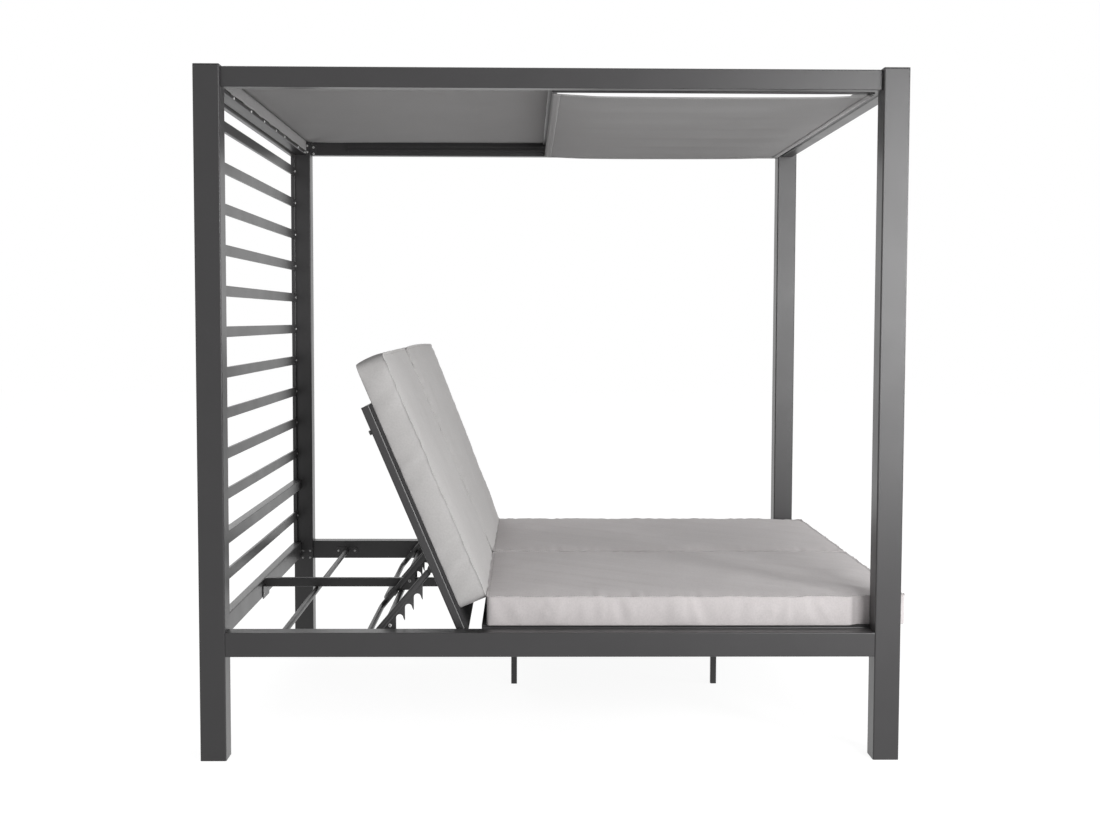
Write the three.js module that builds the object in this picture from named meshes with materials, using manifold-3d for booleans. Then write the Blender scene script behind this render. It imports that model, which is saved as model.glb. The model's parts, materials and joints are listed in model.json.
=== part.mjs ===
// Outdoor daybed with a slatted head end, two lifting backrests and a sliding canopy.
// Millimetres, +Z up, +X toward the foot end, -Y the near side. The origin is on the floor
// under the middle of the whole piece, seat cushions included.

import * as THREE from 'three';
import { mergeVertices } from 'three/addons/utils/BufferGeometryUtils.js';
import Module from 'manifold-3d';

const wasm = await Module();
wasm.setup();

// Driving dimensions of the frame
const length = 2000;
const width = 1810;
const height = 1967;
const footOverhang = 35;
const fitGap = 0.3;
const overrun = 5;

const postSide = 74;
const postWall = 2.5;
const postCorner = 4;
const capThickness = 4;
const capPlugDepth = 14;
const capChamfer = 1.2;

const railTop = 370;
const railHeight = 70;
const railWidth = 60;
const railWall = 2.5;
const railCorner = 3;
const headRailDepth = 30;
const headRailHeight = 60;

const beamDrop = 4;
const beamHeight = 57;
const beamThickness = 42;
const beamSetback = 17.5;
const beamWall = 2;

// Middle of the bed
const centreBeamWidth = 24;
const centreBeamHeight = 30;
const centreBeamWall = 2;
const legSide = 20;
const legWall = 1.5;
const headLegInset = 88;
const footLegInset = 355;
const tyPlateWidth = 114;
const tyPlateHeight = 28;
const plateThickness = 3;
const barDiameter = 19;
const barWall = 2;
const crossTubePlace = 208;
const hookBarPlace = 501;
const hookBarHeight = 326.5;
const flangeLength = 92;
const flangeHeight = 30;

// Head end ladder
const stileDepth = 15;
const stileWidth = 16;
const stileWall = 1.5;
const slatHeight = 33;
const slatThickness = 10;
const slatWall = 1.5;
const slatCorner = 1.5;
const slatPitch = 124;
const slatCount = 12;
const deepSlatIndex = 10;
const deepSlatHeight = 38;
const topSlatDrop = 110;
const ladderRailHeight = 15;
const ladderRailDrop = 55;

// Seat
const frameTube = 25;
const frameCorner = 4;
const frameWall = 1.5;
const drainDiameter = 5;
const frameSideGap = 15.5;
const frameMiddle = 15;
const panelThickness = 5;
const seatFrameDrop = 4;
const deckHead = 800;
const deckFootInset = 65;
const ledgeLength = 60;
const ledgeInset = 60;
const cushionHead = 818.5;
const cushionCrown = 9;
const cushionSeamInset = 5;
const cushionCornerPull = 16;
const cushionSideHeight = 84;
const cushionSwellShare = 0.35;
const cornerFadeShares = [60, 40];
const seatCushionSplit = 1;
const notchLead = 52;
const notchRun = 14;
const notchDepth = 20;

// Backrests, drawn lying flat with the hinge at the head end side of the seat
const hingePlace = 740.5;
const hingeHeight = 362.5;
const backTilt = 66.95;
const backLength = 704;
const backPanelThickness = 7;
const backPanelLower = 8;
const backCushionStart = 66;
const backCushionLength = 766;
const backCushionInner = 5;
const backCushionOuterGap = 1;
const hingePinDiameter = 8;
const hingeCollarDiameter = 18;
const pinClearance = 0.3;
const bumperInset = 76;
const bumperDiameter = 14;
const bumperHeight = 7;

// Props with hook plates
const pivotPlace = 194.9;
const pivotDrop = 11.6;
const propAngle = 49.7;
const propReach = 333;
const propBend = 45;
const armOuterInset = 27;
const armInnerInset = 27.5;
const earRadius = 12;
const earThickness = 4;
const eyeRadius = 11;
const eyeThickness = 6;
const eyeLength = 16;
const pinHeadThickness = 2.5;
const pinHeadDiameter = 14;
const hookThickness = 4;
const hookClearance = 1;
const hookReach = 39.3;
const hookRoot = 4;
const hookNotchDepth = 23.3;
const hookNotchCount = 3;
const hookNotchPitch = 40;
const firstNotchStep = 86.9;
const tineHook = 3.4;
const hookTail = 21;
const hookTailReach = 12;
const releaseAngle = 50;
const landHoleDiameter = 7;
const landHoleStep = 51;
const landHoleDepth = 16;

// Canopy
const trackStart = 221;
const trackDepth = 15;
const trackHeight = 22;
const trackWall = 2;
const trackLip = 4;
const trackDrop = 19;
const canopyOverlap = 12;
const fixedFabricDrop = 5;
const fabricThickness = 2;
const fixedBarWidth = 20;
const fixedBarHeight = 10;
const fixedBarDrop = 1.2;
const fixedSag = 7;
const fixedCrease = 1.5;
const fixedCreaseCount = 14;
const flapDrop = 45;
const flapStandoff = 2;
const flapWave = 1.2;
const flapWaveCount = 18;
const slideFootInset = 82;
const slideBar = 15;
const slideBarDrop = 14;
const slideRod = 12;
const slideRodInset = 34;
const slideSag = 12;
const slideCrease = 2;
const slideCreaseCount = 10;
const slideEdgeSagShare = 0.35;
const slideCreaseEndShare = 1 / 6;
const slideFabricInset = 31;
const slideFabricHem = 1;
const hangerThickness = 4;
const hangerWidth = 16;
const hangerInset = 17.5;
const rollerDiameter = 17;
const rollerWidth = 6;
const rollerPinDiameter = 8;
const rollerClearance = 0.9;

// How finely round forms are faceted
const cornerSteps = 2;
const slimCornerSteps = 1;
const roundSides = 12;
const pinSides = 8;
const tangentShare = 0.001;
const bendSteps = 6;
const notchSteps = 7;

// Places along the bed are measured from the outer face of the head posts
const headFace = -(length + footOverhang) / 2;
const along = (distance) => headFace + distance;
const outerY = width / 2;
const railInnerY = outerY - railWidth;
const beamInnerY = outerY - beamSetback - beamThickness;
const postInnerY = outerY - postSide;
const beamTop = height - beamDrop;
const beamBottom = beamTop - beamHeight;
const headRailInner = along(headRailDepth);
const footRailInner = along(length - railWidth);
const barRadius = barDiameter / 2;
const centreBeamBottom = railTop - centreBeamHeight;
const crossTubeHeight = centreBeamBottom - fitGap - barRadius;
const pinBore = hingePinDiameter / 2 + pinClearance;
const deckFoot = length - deckFootInset;
const ledgePlaces = [deckHead + ledgeInset, (deckHead + deckFoot) / 2, deckFoot - ledgeInset];
const trackTop = beamTop - trackDrop;
const rollerPinHeight = trackTop - trackHeight / 2;
const slideBarTop = rollerPinHeight - slideBarDrop;
const slideHead = length / 2;
const slideFoot = length - slideFootInset;
const fixedFabricFoot = slideHead + canopyOverlap;
const fixedFabricLevel = beamTop - fixedFabricDrop;
const sides = [{ name: 'near', sign: -1 }, { name: 'far', sign: 1 }];
const ends = [{ name: 'head', sign: -1 }, { name: 'foot', sign: 1 }];

// Finishes
const powderCoat = () => new THREE.MeshStandardMaterial({ color: 0x3c3b3d, roughness: 0.45, metalness: 0.5 });
const rodCoat = () => new THREE.MeshStandardMaterial({ color: 0x4a494b, roughness: 0.4, metalness: 0.55 });
const darkPanel = () => new THREE.MeshStandardMaterial({ color: 0x2c2b2d, roughness: 0.85, metalness: 0 });
const capPlastic = () => new THREE.MeshStandardMaterial({ color: 0x353436, roughness: 0.6, metalness: 0 });
const cushionCloth = () => new THREE.MeshStandardMaterial({ color: 0xb9b7b4, roughness: 0.95, metalness: 0 });
const canopyCloth = () => new THREE.MeshStandardMaterial({ color: 0x757474, roughness: 0.9, metalness: 0 });

// Solids are joined and cut as closed meshes
function toSolid(geometry) {
  const bare = geometry.clone();
  bare.deleteAttribute('normal');
  bare.deleteAttribute('uv');
  const merged = mergeVertices(bare);
  const mesh = new wasm.Mesh({
    numProp: 3,
    vertProperties: new Float32Array(merged.attributes.position.array),
    triVerts: new Uint32Array(merged.index.array),
  });
  return new wasm.Manifold(mesh);
}

function fromSolid(solid) {
  const mesh = solid.getMesh();
  const geometry = new THREE.BufferGeometry();
  geometry.setAttribute('position', new THREE.BufferAttribute(new Float32Array(mesh.vertProperties), 3));
  geometry.setIndex(new THREE.BufferAttribute(new Uint32Array(mesh.triVerts), 1));
  geometry.computeVertexNormals();
  return geometry;
}

function join(...geometries) {
  return fromSolid(geometries.map(toSolid).reduce((whole, piece) => whole.add(piece)));
}

function cut(geometry, ...tools) {
  return fromSolid(tools.map(toSolid).reduce((whole, tool) => whole.subtract(tool), toSolid(geometry)));
}

// A rectangle with round corners, centred on its own middle
function roundedRectangle(across, up, corner) {
  const shape = new THREE.Shape();
  const x = across / 2;
  const y = up / 2;
  shape.moveTo(x - corner, -y);
  shape.absarc(x - corner, corner - y, corner, -Math.PI / 2, 0);
  shape.absarc(x - corner, y - corner, corner, 0, Math.PI / 2);
  shape.absarc(corner - x, y - corner, corner, Math.PI / 2, Math.PI);
  shape.absarc(corner - x, corner - y, corner, Math.PI, Math.PI * 1.5);
  shape.closePath();
  return shape;
}

// Turns a form drawn up the Z axis so that it runs along another axis.
// A section keeps its first side on the first remaining axis and its second on the next.
function turnTo(geometry, axis) {
  const basis = new THREE.Matrix4();
  const [x, y, z] = [new THREE.Vector3(1, 0, 0), new THREE.Vector3(0, 1, 0), new THREE.Vector3(0, 0, 1)];
  if (axis === 'x') basis.makeBasis(y, z, x);
  if (axis === 'y') basis.makeBasis(x, z, y.clone().negate());
  return geometry.applyMatrix4(basis);
}

function placeOn(geometry, axis, span, at) {
  const from = Math.min(...span);
  const to = Math.max(...span);
  turnTo(geometry, axis);
  if (axis === 'x') geometry.translate(from, at[0], at[1]);
  if (axis === 'y') geometry.translate(at[0], to, at[1]);
  if (axis === 'z') geometry.translate(at[0], at[1], from);
  return geometry;
}

function extrudeOn(shape, axis, span, at, steps = cornerSteps) {
  const depth = Math.abs(span[1] - span[0]);
  const geometry = new THREE.ExtrudeGeometry(shape, { depth, bevelEnabled: false, curveSegments: steps });
  return placeOn(geometry, axis, span, at);
}

// A square or oblong bar, hollow and open at both ends where it has a wall
function bar(axis, span, at, size, corner, wall = 0, steps = cornerSteps) {
  const shape = roundedRectangle(size[0], size[1], corner);
  if (wall > 0) {
    const inner = Math.max(corner - wall, wall / 2);
    shape.holes.push(roundedRectangle(size[0] - wall - wall, size[1] - wall - wall, inner));
  }
  return extrudeOn(shape, axis, span, at, steps);
}

function circle(radius) {
  return new THREE.Shape().absarc(0, 0, radius, 0, Math.PI * 2);
}

function rod(axis, span, at, radius, wall = 0, facets = roundSides) {
  const shape = circle(radius);
  if (wall > 0) shape.holes.push(circle(radius - wall));
  return extrudeOn(shape, axis, span, at, facets / 2);
}

function pin(axis, span, at, diameter) {
  return rod(axis, span, at, diameter / 2, 0, pinSides);
}

function piece(parent, name, geometry, material) {
  const mesh = new THREE.Mesh(geometry, material);
  mesh.name = name;
  parent.add(mesh);
  return mesh;
}

// Main frame: posts, rails round the bed and beams round the top
function addPosts(parent) {
  const reach = postSide / 2;
  for (const end of ends) {
    for (const side of sides) {
      const x = end.sign < 0 ? along(reach) : along(length - reach);
      const at = [x, side.sign * (outerY - reach)];
      const span = [0, height - capThickness - fitGap];
      const tube = bar('z', span, at, [postSide, postSide], postCorner, postWall);
      piece(parent, `post_${end.name}_${side.name}`, tube, powderCoat());
      piece(parent, `post_cap_${end.name}_${side.name}`, postCap(at), capPlastic());
    }
  }
}

function postCap(at) {
  const inner = postSide - capChamfer * 2;
  const shape = roundedRectangle(inner, inner, postCorner - capChamfer);
  const plate = new THREE.ExtrudeGeometry(shape, {
    depth: capThickness - capChamfer * 2,
    bevelEnabled: true,
    bevelThickness: capChamfer,
    bevelSize: capChamfer,
    bevelSegments: 1,
    curveSegments: cornerSteps,
  });
  plate.translate(at[0], at[1], height - capThickness + capChamfer);
  const plugSide = postSide - postWall * 2 - fitGap * 2;
  const plugSpan = [height - capThickness - capPlugDepth, height - capThickness / 2];
  return join(plate, bar('z', plugSpan, at, [plugSide, plugSide], postCorner - postWall));
}

function sideRail(side) {
  const span = [along(postSide) + fitGap, along(length - postSide) - fitGap];
  const at = [side.sign * (outerY - railWidth / 2), railTop - railHeight / 2];
  const tube = bar('x', span, at, [railWidth, railHeight], railCorner, railWall);
  const ledges = ledgePlaces.map((place) => railLedge(side, along(place)));
  const wallY = side.sign * (railInnerY + railWall / 2);
  const holeSpan = [wallY - railWall, wallY + railWall];
  const hole = rod('y', holeSpan, [along(hingePlace), hingeHeight], pinBore);
  return cut(join(tube, ...ledges), hole);
}

// An angle on the rail's inner face that carries the seat frame
function railLedge(side, x) {
  const top = seatFrameTop - frameTube - fitGap;
  const reachY = railInnerY - frameSideGap - frameTube;
  const shelf = new THREE.BoxGeometry(ledgeLength, railInnerY - reachY + railWall / 2, plateThickness);
  shelf.translate(x, side.sign * (railInnerY + railWall / 2 + reachY) / 2, top - plateThickness / 2);
  return shelf;
}

function addRails(parent) {
  for (const side of sides) piece(parent, `rail_${side.name}`, sideRail(side), powderCoat());
  const span = [fitGap - postInnerY, postInnerY - fitGap];
  const headAt = [along(headRailDepth / 2), railTop - headRailHeight / 2];
  const head = bar('y', span, headAt, [headRailDepth, headRailHeight], railCorner, railWall);
  piece(parent, 'rail_head', head, powderCoat());
  const footAt = [along(length - railWidth / 2), railTop - railHeight / 2];
  const foot = bar('y', span, footAt, [railWidth, railHeight], railCorner, railWall);
  piece(parent, 'rail_foot', foot, powderCoat());
}

function addBeams(parent) {
  const z = (beamTop + beamBottom) / 2;
  const section = [beamThickness, beamHeight];
  const inset = beamSetback + beamThickness / 2;
  for (const side of sides) {
    const span = [along(postSide) + fitGap, along(length - postSide) - fitGap];
    const beam = bar('x', span, [side.sign * (outerY - inset), z], section, railCorner, beamWall);
    piece(parent, `beam_${side.name}`, beam, powderCoat());
  }
  for (const end of ends) {
    const x = end.sign < 0 ? along(inset) : along(length - inset);
    const beam = bar('y', [fitGap - postInnerY, postInnerY - fitGap], [x, z], section, railCorner, beamWall);
    piece(parent, `beam_${end.name}`, beam, powderCoat());
  }
}

// Middle of the bed: the beam that both backrests hinge on, its legs and the cross tubes
function centreBeam() {
  const span = [headRailInner + fitGap, footRailInner - fitGap];
  const at = [0, railTop - centreBeamHeight / 2];
  const tube = bar('x', span, at, [centreBeamWidth, centreBeamHeight], railCorner, centreBeamWall);
  const top = seatFrameTop - frameTube - fitGap;
  const ledges = ledgePlaces.map((place) => {
    const shelf = new THREE.BoxGeometry(ledgeLength, (frameMiddle + frameTube) * 2, plateThickness);
    return shelf.translate(along(place), 0, top - plateThickness / 2);
  });
  const plates = [span[0], span[1] - plateThickness].map((x) => {
    const plateSpan = [x, x + plateThickness];
    const z = centreBeamBottom + centreBeamHeight / 2 - tyPlateHeight;
    return bar('x', plateSpan, [0, z], [tyPlateWidth, tyPlateHeight + centreBeamHeight / 2], railCorner);
  });
  const holeSpan = [-centreBeamWidth, centreBeamWidth];
  const hole = rod('y', holeSpan, [along(hingePlace), hingeHeight], pinBore);
  return cut(join(tube, ...ledges, ...plates), hole);
}

// A tube across the bed with an oblong flange at each rail
function crossTube(place, z) {
  const reach = railInnerY - fitGap;
  const at = [along(place), z];
  const tube = rod('y', [-reach, reach], at, barRadius);
  const flanges = sides.map((side) => {
    const span = [side.sign * reach, side.sign * (reach - plateThickness)];
    return bar('y', span, at, [flangeLength, flangeHeight], flangeHeight / 2 - fitGap);
  });
  const bore = rod('y', [-reach - overrun, reach + overrun], at, barRadius - barWall);
  return cut(join(tube, ...flanges), bore);
}

function addMiddle(parent) {
  piece(parent, 'centre_beam', centreBeam(), powderCoat());
  [deckHead + headLegInset, deckFoot - footLegInset].forEach((place, index) => {
    const span = [0, centreBeamBottom - fitGap];
    const at = [along(place), 0];
    const leg = bar('z', span, at, [legSide, legSide], railCorner, legWall, slimCornerSteps);
    piece(parent, `centre_leg_${index + 1}`, leg, powderCoat());
  });
  piece(parent, 'cross_tube', crossTube(crossTubePlace, crossTubeHeight), powderCoat());
  piece(parent, 'hook_crossbar', crossTube(hookBarPlace, hookBarHeight), rodCoat());
}

// Head end: slats between two stiles
function addLadder(parent) {
  const stileAt = postInnerY - fitGap - stileWidth / 2;
  const stileX = along(stileDepth / 2);
  const bottom = railTop + fitGap;
  const railBottom = height - ladderRailDrop - ladderRailHeight;
  for (const side of sides) {
    const span = [bottom, railBottom - fitGap];
    const at = [stileX, side.sign * stileAt];
    const stile = bar('z', span, at, [stileDepth, stileWidth], slatCorner, stileWall, slimCornerSteps);
    piece(parent, `ladder_stile_${side.name}`, stile, powderCoat());
  }
  const railSpan = [fitGap - postInnerY, postInnerY - fitGap];
  const railAt = [stileX, railBottom + ladderRailHeight / 2];
  const railSize = [stileDepth, ladderRailHeight];
  const rail = bar('y', railSpan, railAt, railSize, slatCorner, stileWall, slimCornerSteps);
  piece(parent, 'ladder_top_rail', rail, powderCoat());
  const reach = stileAt - stileWidth / 2 - fitGap;
  for (let index = 0; index < slatCount; index += 1) {
    const deep = index === deepSlatIndex;
    const size = deep ? [headRailDepth, deepSlatHeight] : [slatThickness, slatHeight];
    const x = deep ? along(headRailDepth / 2) : along(stileDepth - slatThickness / 2);
    const z = height - topSlatDrop - slatPitch * index - slatHeight / 2;
    const slat = bar('y', [-reach, reach], [x, z], size, slatCorner, slatWall, slimCornerSteps);
    piece(parent, `ladder_slat_${String(index + 1).padStart(2, '0')}`, slat, powderCoat());
  }
}

// Four bars in a ring, with its middle plane at height z
function barRing(xSpan, ySpan, z, side, corner) {
  const [x0, x1] = xSpan;
  const [y0, y1] = [Math.min(...ySpan), Math.max(...ySpan)];
  const half = side / 2;
  const size = [side, side];
  const crossSpan = [y0 + half, y1 - half];
  const runs = crossSpan.map((y) => bar('x', [x0, x1], [y, z], size, corner, 0, slimCornerSteps));
  const crosses = [x0 + half, x1 - half].map((x) => bar('y', crossSpan, [x, z], size, corner, 0, slimCornerSteps));
  return join(...runs, ...crosses);
}

// A welded ring of square tube, with drain holes in the underside
function tubeRing(xSpan, ySpan, z) {
  const outer = barRing(xSpan, ySpan, z, frameTube, frameCorner);
  const y0 = Math.min(...ySpan) + frameWall;
  const y1 = Math.max(...ySpan) - frameWall;
  const bore = [xSpan[0] + frameWall, xSpan[1] - frameWall];
  const inner = barRing(bore, [y0, y1], z, frameTube - frameWall * 2, frameCorner - frameWall);
  const drains = [xSpan[0] + frameTube / 2, xSpan[1] - frameTube / 2].map((x) => {
    return pin('z', [z - frameTube, z], [x, (y0 + y1) / 2], drainDiameter);
  });
  return cut(outer, inner, ...drains);
}

// A cushion with a crowned top, rounded corners and sides drawn in at the seams
function cushion({ x0, x1, yInner, yOuter, base, columns, rows, wallRows }) {
  const spread = (index, count) => (1 - Math.cos(Math.PI * index / count)) / 2;
  const toward = Math.sign(yOuter(x0) - yInner);
  const point = (s, t, inset, z) => {
    const [fadeAlong, fadeAcross] = cornerFadeShares;
    const pull = cushionCornerPull * (Math.abs(2 * s - 1) ** fadeAlong) * (Math.abs(2 * t - 1) ** fadeAcross);
    const shift = inset + pull;
    const x = x0 + shift + (x1 - x0 - shift * 2) * s;
    const inner = yInner + toward * shift;
    const outer = yOuter(x) - toward * shift;
    return [x, inner + (outer - inner) * t, z];
  };
  const ring = [];
  for (let i = 0; i < columns; i += 1) ring.push([i, 0]);
  for (let j = 0; j < rows; j += 1) ring.push([columns, j]);
  for (let i = columns; i > 0; i -= 1) ring.push([i, rows]);
  for (let j = rows; j > 0; j -= 1) ring.push([0, j]);
  const points = [];
  const triangles = [];
  const wall = (level) => level * ring.length;
  for (let level = 0; level <= wallRows; level += 1) {
    const share = level / wallRows;
    const inset = cushionSeamInset * (1 - Math.sin(Math.PI * share));
    for (const [i, j] of ring) {
      points.push(point(spread(i, columns), spread(j, rows), inset, base + cushionSideHeight * share));
    }
  }
  for (let level = 0; level < wallRows; level += 1) {
    for (let k = 0; k < ring.length; k += 1) {
      const next = (k + 1) % ring.length;
      const [a, b, c, d] = [wall(level) + k, wall(level) + next, wall(level + 1) + next, wall(level + 1) + k];
      triangles.push([a, b, c], [a, c, d]);
    }
  }
  const centre = points.length;
  points.push(point(1 / 2, 1 / 2, cushionSeamInset, base));
  for (let k = 0; k < ring.length; k += 1) triangles.push([centre, (k + 1) % ring.length, k]);
  const onRing = new Map(ring.map(([i, j], k) => [`${i},${j}`, wall(wallRows) + k]));
  const top = (i, j) => onRing.get(`${i},${j}`);
  const swell = (s, t) => cushionCrown * (Math.sin(Math.PI * s) * Math.sin(Math.PI * t)) ** cushionSwellShare;
  for (let i = 1; i < columns; i += 1) {
    for (let j = 1; j < rows; j += 1) {
      const [s, t] = [spread(i, columns), spread(j, rows)];
      onRing.set(`${i},${j}`, points.length);
      points.push(point(s, t, cushionSeamInset, base + cushionSideHeight + swell(s, t)));
    }
  }
  for (let i = 0; i < columns; i += 1) {
    for (let j = 0; j < rows; j += 1) {
      const [a, b, c, d] = [top(i, j), top(i + 1, j), top(i + 1, j + 1), top(i, j + 1)];
      triangles.push([a, b, c], [a, c, d]);
    }
  }
  const flat = toward > 0 ? triangles : triangles.map(([a, b, c]) => [a, c, b]);
  return meshOf(points, flat);
}

function meshOf(points, triangles) {
  const geometry = new THREE.BufferGeometry();
  geometry.setAttribute('position', new THREE.Float32BufferAttribute(points.flat(), 3));
  geometry.setIndex(triangles.flat());
  geometry.computeVertexNormals();
  return geometry;
}

// Seat: a tube frame, a thin panel and a cushion on each side
const seatFrameTop = railTop + panelThickness - seatFrameDrop;
const seatPanelTop = seatFrameTop + fitGap + panelThickness;
const frameOuterY = railInnerY - frameSideGap;
const outerArmY = frameOuterY - armOuterInset - frameTube / 2;
const innerArmY = frameMiddle + armInnerInset + frameTube / 2;

function addSeats(parent) {
  const x0 = along(deckHead);
  const x1 = along(deckFoot);
  for (const side of sides) {
    const inner = side.sign * frameMiddle;
    const outer = side.sign * frameOuterY;
    const ring = tubeRing([x0, x1], [inner, outer], seatFrameTop - frameTube / 2);
    piece(parent, `seat_frame_${side.name}`, ring, powderCoat());
    const middle = [(x0 + x1) / 2, (inner + outer) / 2];
    const size = [x1 - x0, Math.abs(outer - inner)];
    const panelSpan = [seatFrameTop + fitGap, seatPanelTop];
    piece(parent, `seat_panel_${side.name}`, bar('z', panelSpan, middle, size, frameCorner), darkPanel());
    piece(parent, `seat_cushion_${side.name}`, seatCushion(side), cushionCloth());
  }
}

function seatCushion(side) {
  const notch = (x) => {
    const share = (x - along(length - postSide - notchLead)) / notchRun;
    return notchDepth * Math.min(Math.max(share, 0), 1);
  };
  return cushion({
    x0: along(cushionHead),
    x1: along(length + footOverhang),
    yInner: side.sign * seatCushionSplit,
    yOuter: (x) => side.sign * (railInnerY - notch(x)),
    base: seatPanelTop + fitGap,
    columns: 22,
    rows: 10,
    wallRows: 4,
  });
}

// Backrests lie toward the head end here, and a group lifts each to its angle
const backPanelTop = frameTube / 2 + fitGap + backPanelThickness;

function backFrame(side) {
  const inner = side.sign * frameMiddle;
  const outer = side.sign * frameOuterY;
  const ring = tubeRing([-backLength, frameTube / 2], [inner, outer], 0);
  const beamFace = centreBeamWidth / 2;
  const hinge = [
    ...hingeEnd(outer, side.sign * railInnerY, side.sign * (railInnerY + railWall * 2)),
    ...hingeEnd(inner, side.sign * beamFace, side.sign * (beamFace - centreBeamWall * 2)),
  ];
  const pivots = [
    ...propPivot(outer - side.sign * frameTube, side.sign * outerArmY),
    ...propPivot(inner + side.sign * frameTube, side.sign * innerArmY),
  ];
  const bumpers = [inner + side.sign * frameTube / 2, outer - side.sign * frameTube / 2].map((y) => {
    const span = [-frameTube / 2 - bumperHeight, -frameTube / 2 + frameCorner];
    return pin('z', span, [bumperInset - backLength, y], bumperDiameter);
  });
  return join(ring, ...hinge, ...pivots, ...bumpers);
}

// The pin that turns in the rail or beam, with a collar up to its face
function hingeEnd(tubeFace, wallFace, pinEnd) {
  const outward = Math.sign(wallFace - tubeFace);
  const start = tubeFace - outward * frameCorner;
  return [
    pin('y', [start, wallFace - outward * fitGap], [0, 0], hingeCollarDiameter),
    pin('y', [start, pinEnd], [0, 0], hingePinDiameter),
  ];
}

// The ear under a side tube and the headed pin that carries one arm of the prop
function propPivot(tubeFace, armY) {
  const outward = Math.sign(armY - tubeFace);
  const at = [-pivotPlace, -pivotDrop];
  const headEnd = armY + outward * (eyeThickness / 2 + pinClearance + pinHeadThickness);
  return [
    rod('y', [tubeFace - outward * frameCorner, tubeFace + outward * earThickness], at, earRadius),
    pin('y', [tubeFace, headEnd], at, hingePinDiameter),
    pin('y', [headEnd - outward * pinHeadThickness, headEnd], at, pinHeadDiameter),
  ];
}

function backCushion(side) {
  return cushion({
    x0: -backCushionStart - backCushionLength,
    x1: -backCushionStart,
    yInner: side.sign * backCushionInner,
    yOuter: () => side.sign * (frameOuterY - backCushionOuterGap),
    base: backPanelTop + fitGap,
    columns: 16,
    rows: 10,
    wallRows: 4,
  });
}

// Props: a bent tube with an eye at each end and a hook plate under each arm.
// An arm runs from its pivot toward -X, and the plate hangs toward -Z.
const tilt = THREE.MathUtils.degToRad(backTilt);
const armAngle = THREE.MathUtils.degToRad(propAngle);
const pivotX = -pivotPlace * Math.cos(tilt) - pivotDrop * Math.sin(tilt);
const pivotZ = pivotPlace * Math.sin(tilt) - pivotDrop * Math.cos(tilt);

// The crossbar as the prop sees it, so that the lowest hook sits on it
function crossbarFromPivot() {
  const x = along(hookBarPlace) - along(hingePlace) - pivotX;
  const z = hookBarHeight - hingeHeight - pivotZ;
  return new THREE.Vector2(
    x * Math.cos(armAngle) + z * Math.sin(armAngle),
    z * Math.cos(armAngle) - x * Math.sin(armAngle),
  );
}

function hookOutline() {
  const seat = crossbarFromPivot();
  const radius = barRadius + hookClearance;
  const down = new THREE.Vector2(-Math.sin(armAngle), -Math.cos(armAngle));
  const across = new THREE.Vector2(Math.cos(armAngle), -Math.sin(armAngle));
  const release = THREE.MathUtils.degToRad(releaseAngle);
  const away = new THREE.Vector2(Math.cos(release), -Math.sin(release));
  const outline = [];
  const runTo = (start, direction, level) => {
    const steps = (level - start.y) / direction.y;
    return start.clone().addScaledVector(direction, steps);
  };
  const arc = (centre, fromAngle, toAngle) => {
    for (let k = 0; k <= notchSteps; k += 1) {
      const angle = fromAngle + (toAngle - fromAngle) * k / notchSteps;
      const offset = new THREE.Vector2(Math.cos(angle), Math.sin(angle)).multiplyScalar(radius);
      outline.push(offset.add(centre));
    }
  };
  const headAngle = Math.atan2(-across.y, -across.x);
  const footAngle = Math.atan2(across.y, across.x);
  const seatStart = seat.clone().addScaledVector(across, -radius);
  outline.push(new THREE.Vector2(seat.x - hookTail, -hookRoot));
  outline.push(new THREE.Vector2(seat.x - hookTail, -hookTailReach));
  outline.push(runTo(seatStart, down, -hookTailReach));
  arc(seat, headAngle, Math.PI / 2 - release);
  outline.push(runTo(outline[outline.length - 1], away, -hookReach));
  let notch = new THREE.Vector2(seat.x + firstNotchStep, -hookNotchDepth);
  for (let index = 0; index < hookNotchCount; index += 1) {
    const start = notch.clone().addScaledVector(across, -radius);
    outline.push(runTo(start, down, -hookReach));
    arc(notch, headAngle, footAngle);
    outline.push(new THREE.Vector2(notch.x + tineHook, -hookReach));
    notch = notch.clone();
    notch.x += hookNotchPitch;
  }
  const last = notch.clone().addScaledVector(across, -radius);
  outline.push(runTo(last, down, -hookReach));
  outline.push(runTo(last, down, -hookRoot));
  return outline;
}

function hookPlate(y) {
  const shape = new THREE.Shape(hookOutline());
  const hole = circle(landHoleDiameter / 2);
  const seat = crossbarFromPivot();
  const plate = extrudeOn(shape, 'y', [y - hookThickness / 2, y + hookThickness / 2], [0, 0]);
  const holeAt = [seat.x + landHoleStep, -landHoleDepth];
  return cut(plate, extrudeOn(hole, 'y', [y - hookThickness, y + hookThickness], holeAt, roundSides / 2));
}

// A line through a list of stops, with its parameter spread evenly over the stops
class StopLine extends THREE.Curve {
  constructor(stops) {
    super();
    this.stops = stops;
  }

  getPoint(share, target = new THREE.Vector3()) {
    const runs = this.stops.length - 1;
    const place = Math.min(Math.max(share, 0), 1) * runs;
    const index = Math.min(Math.floor(place), runs - 1);
    return target.lerpVectors(this.stops[index], this.stops[index + 1], place - index);
  }

  getPointAt(share, target) {
    return this.getPoint(share, target);
  }

  getTangentAt(share, target) {
    return this.getTangent(share, target);
  }
}

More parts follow.
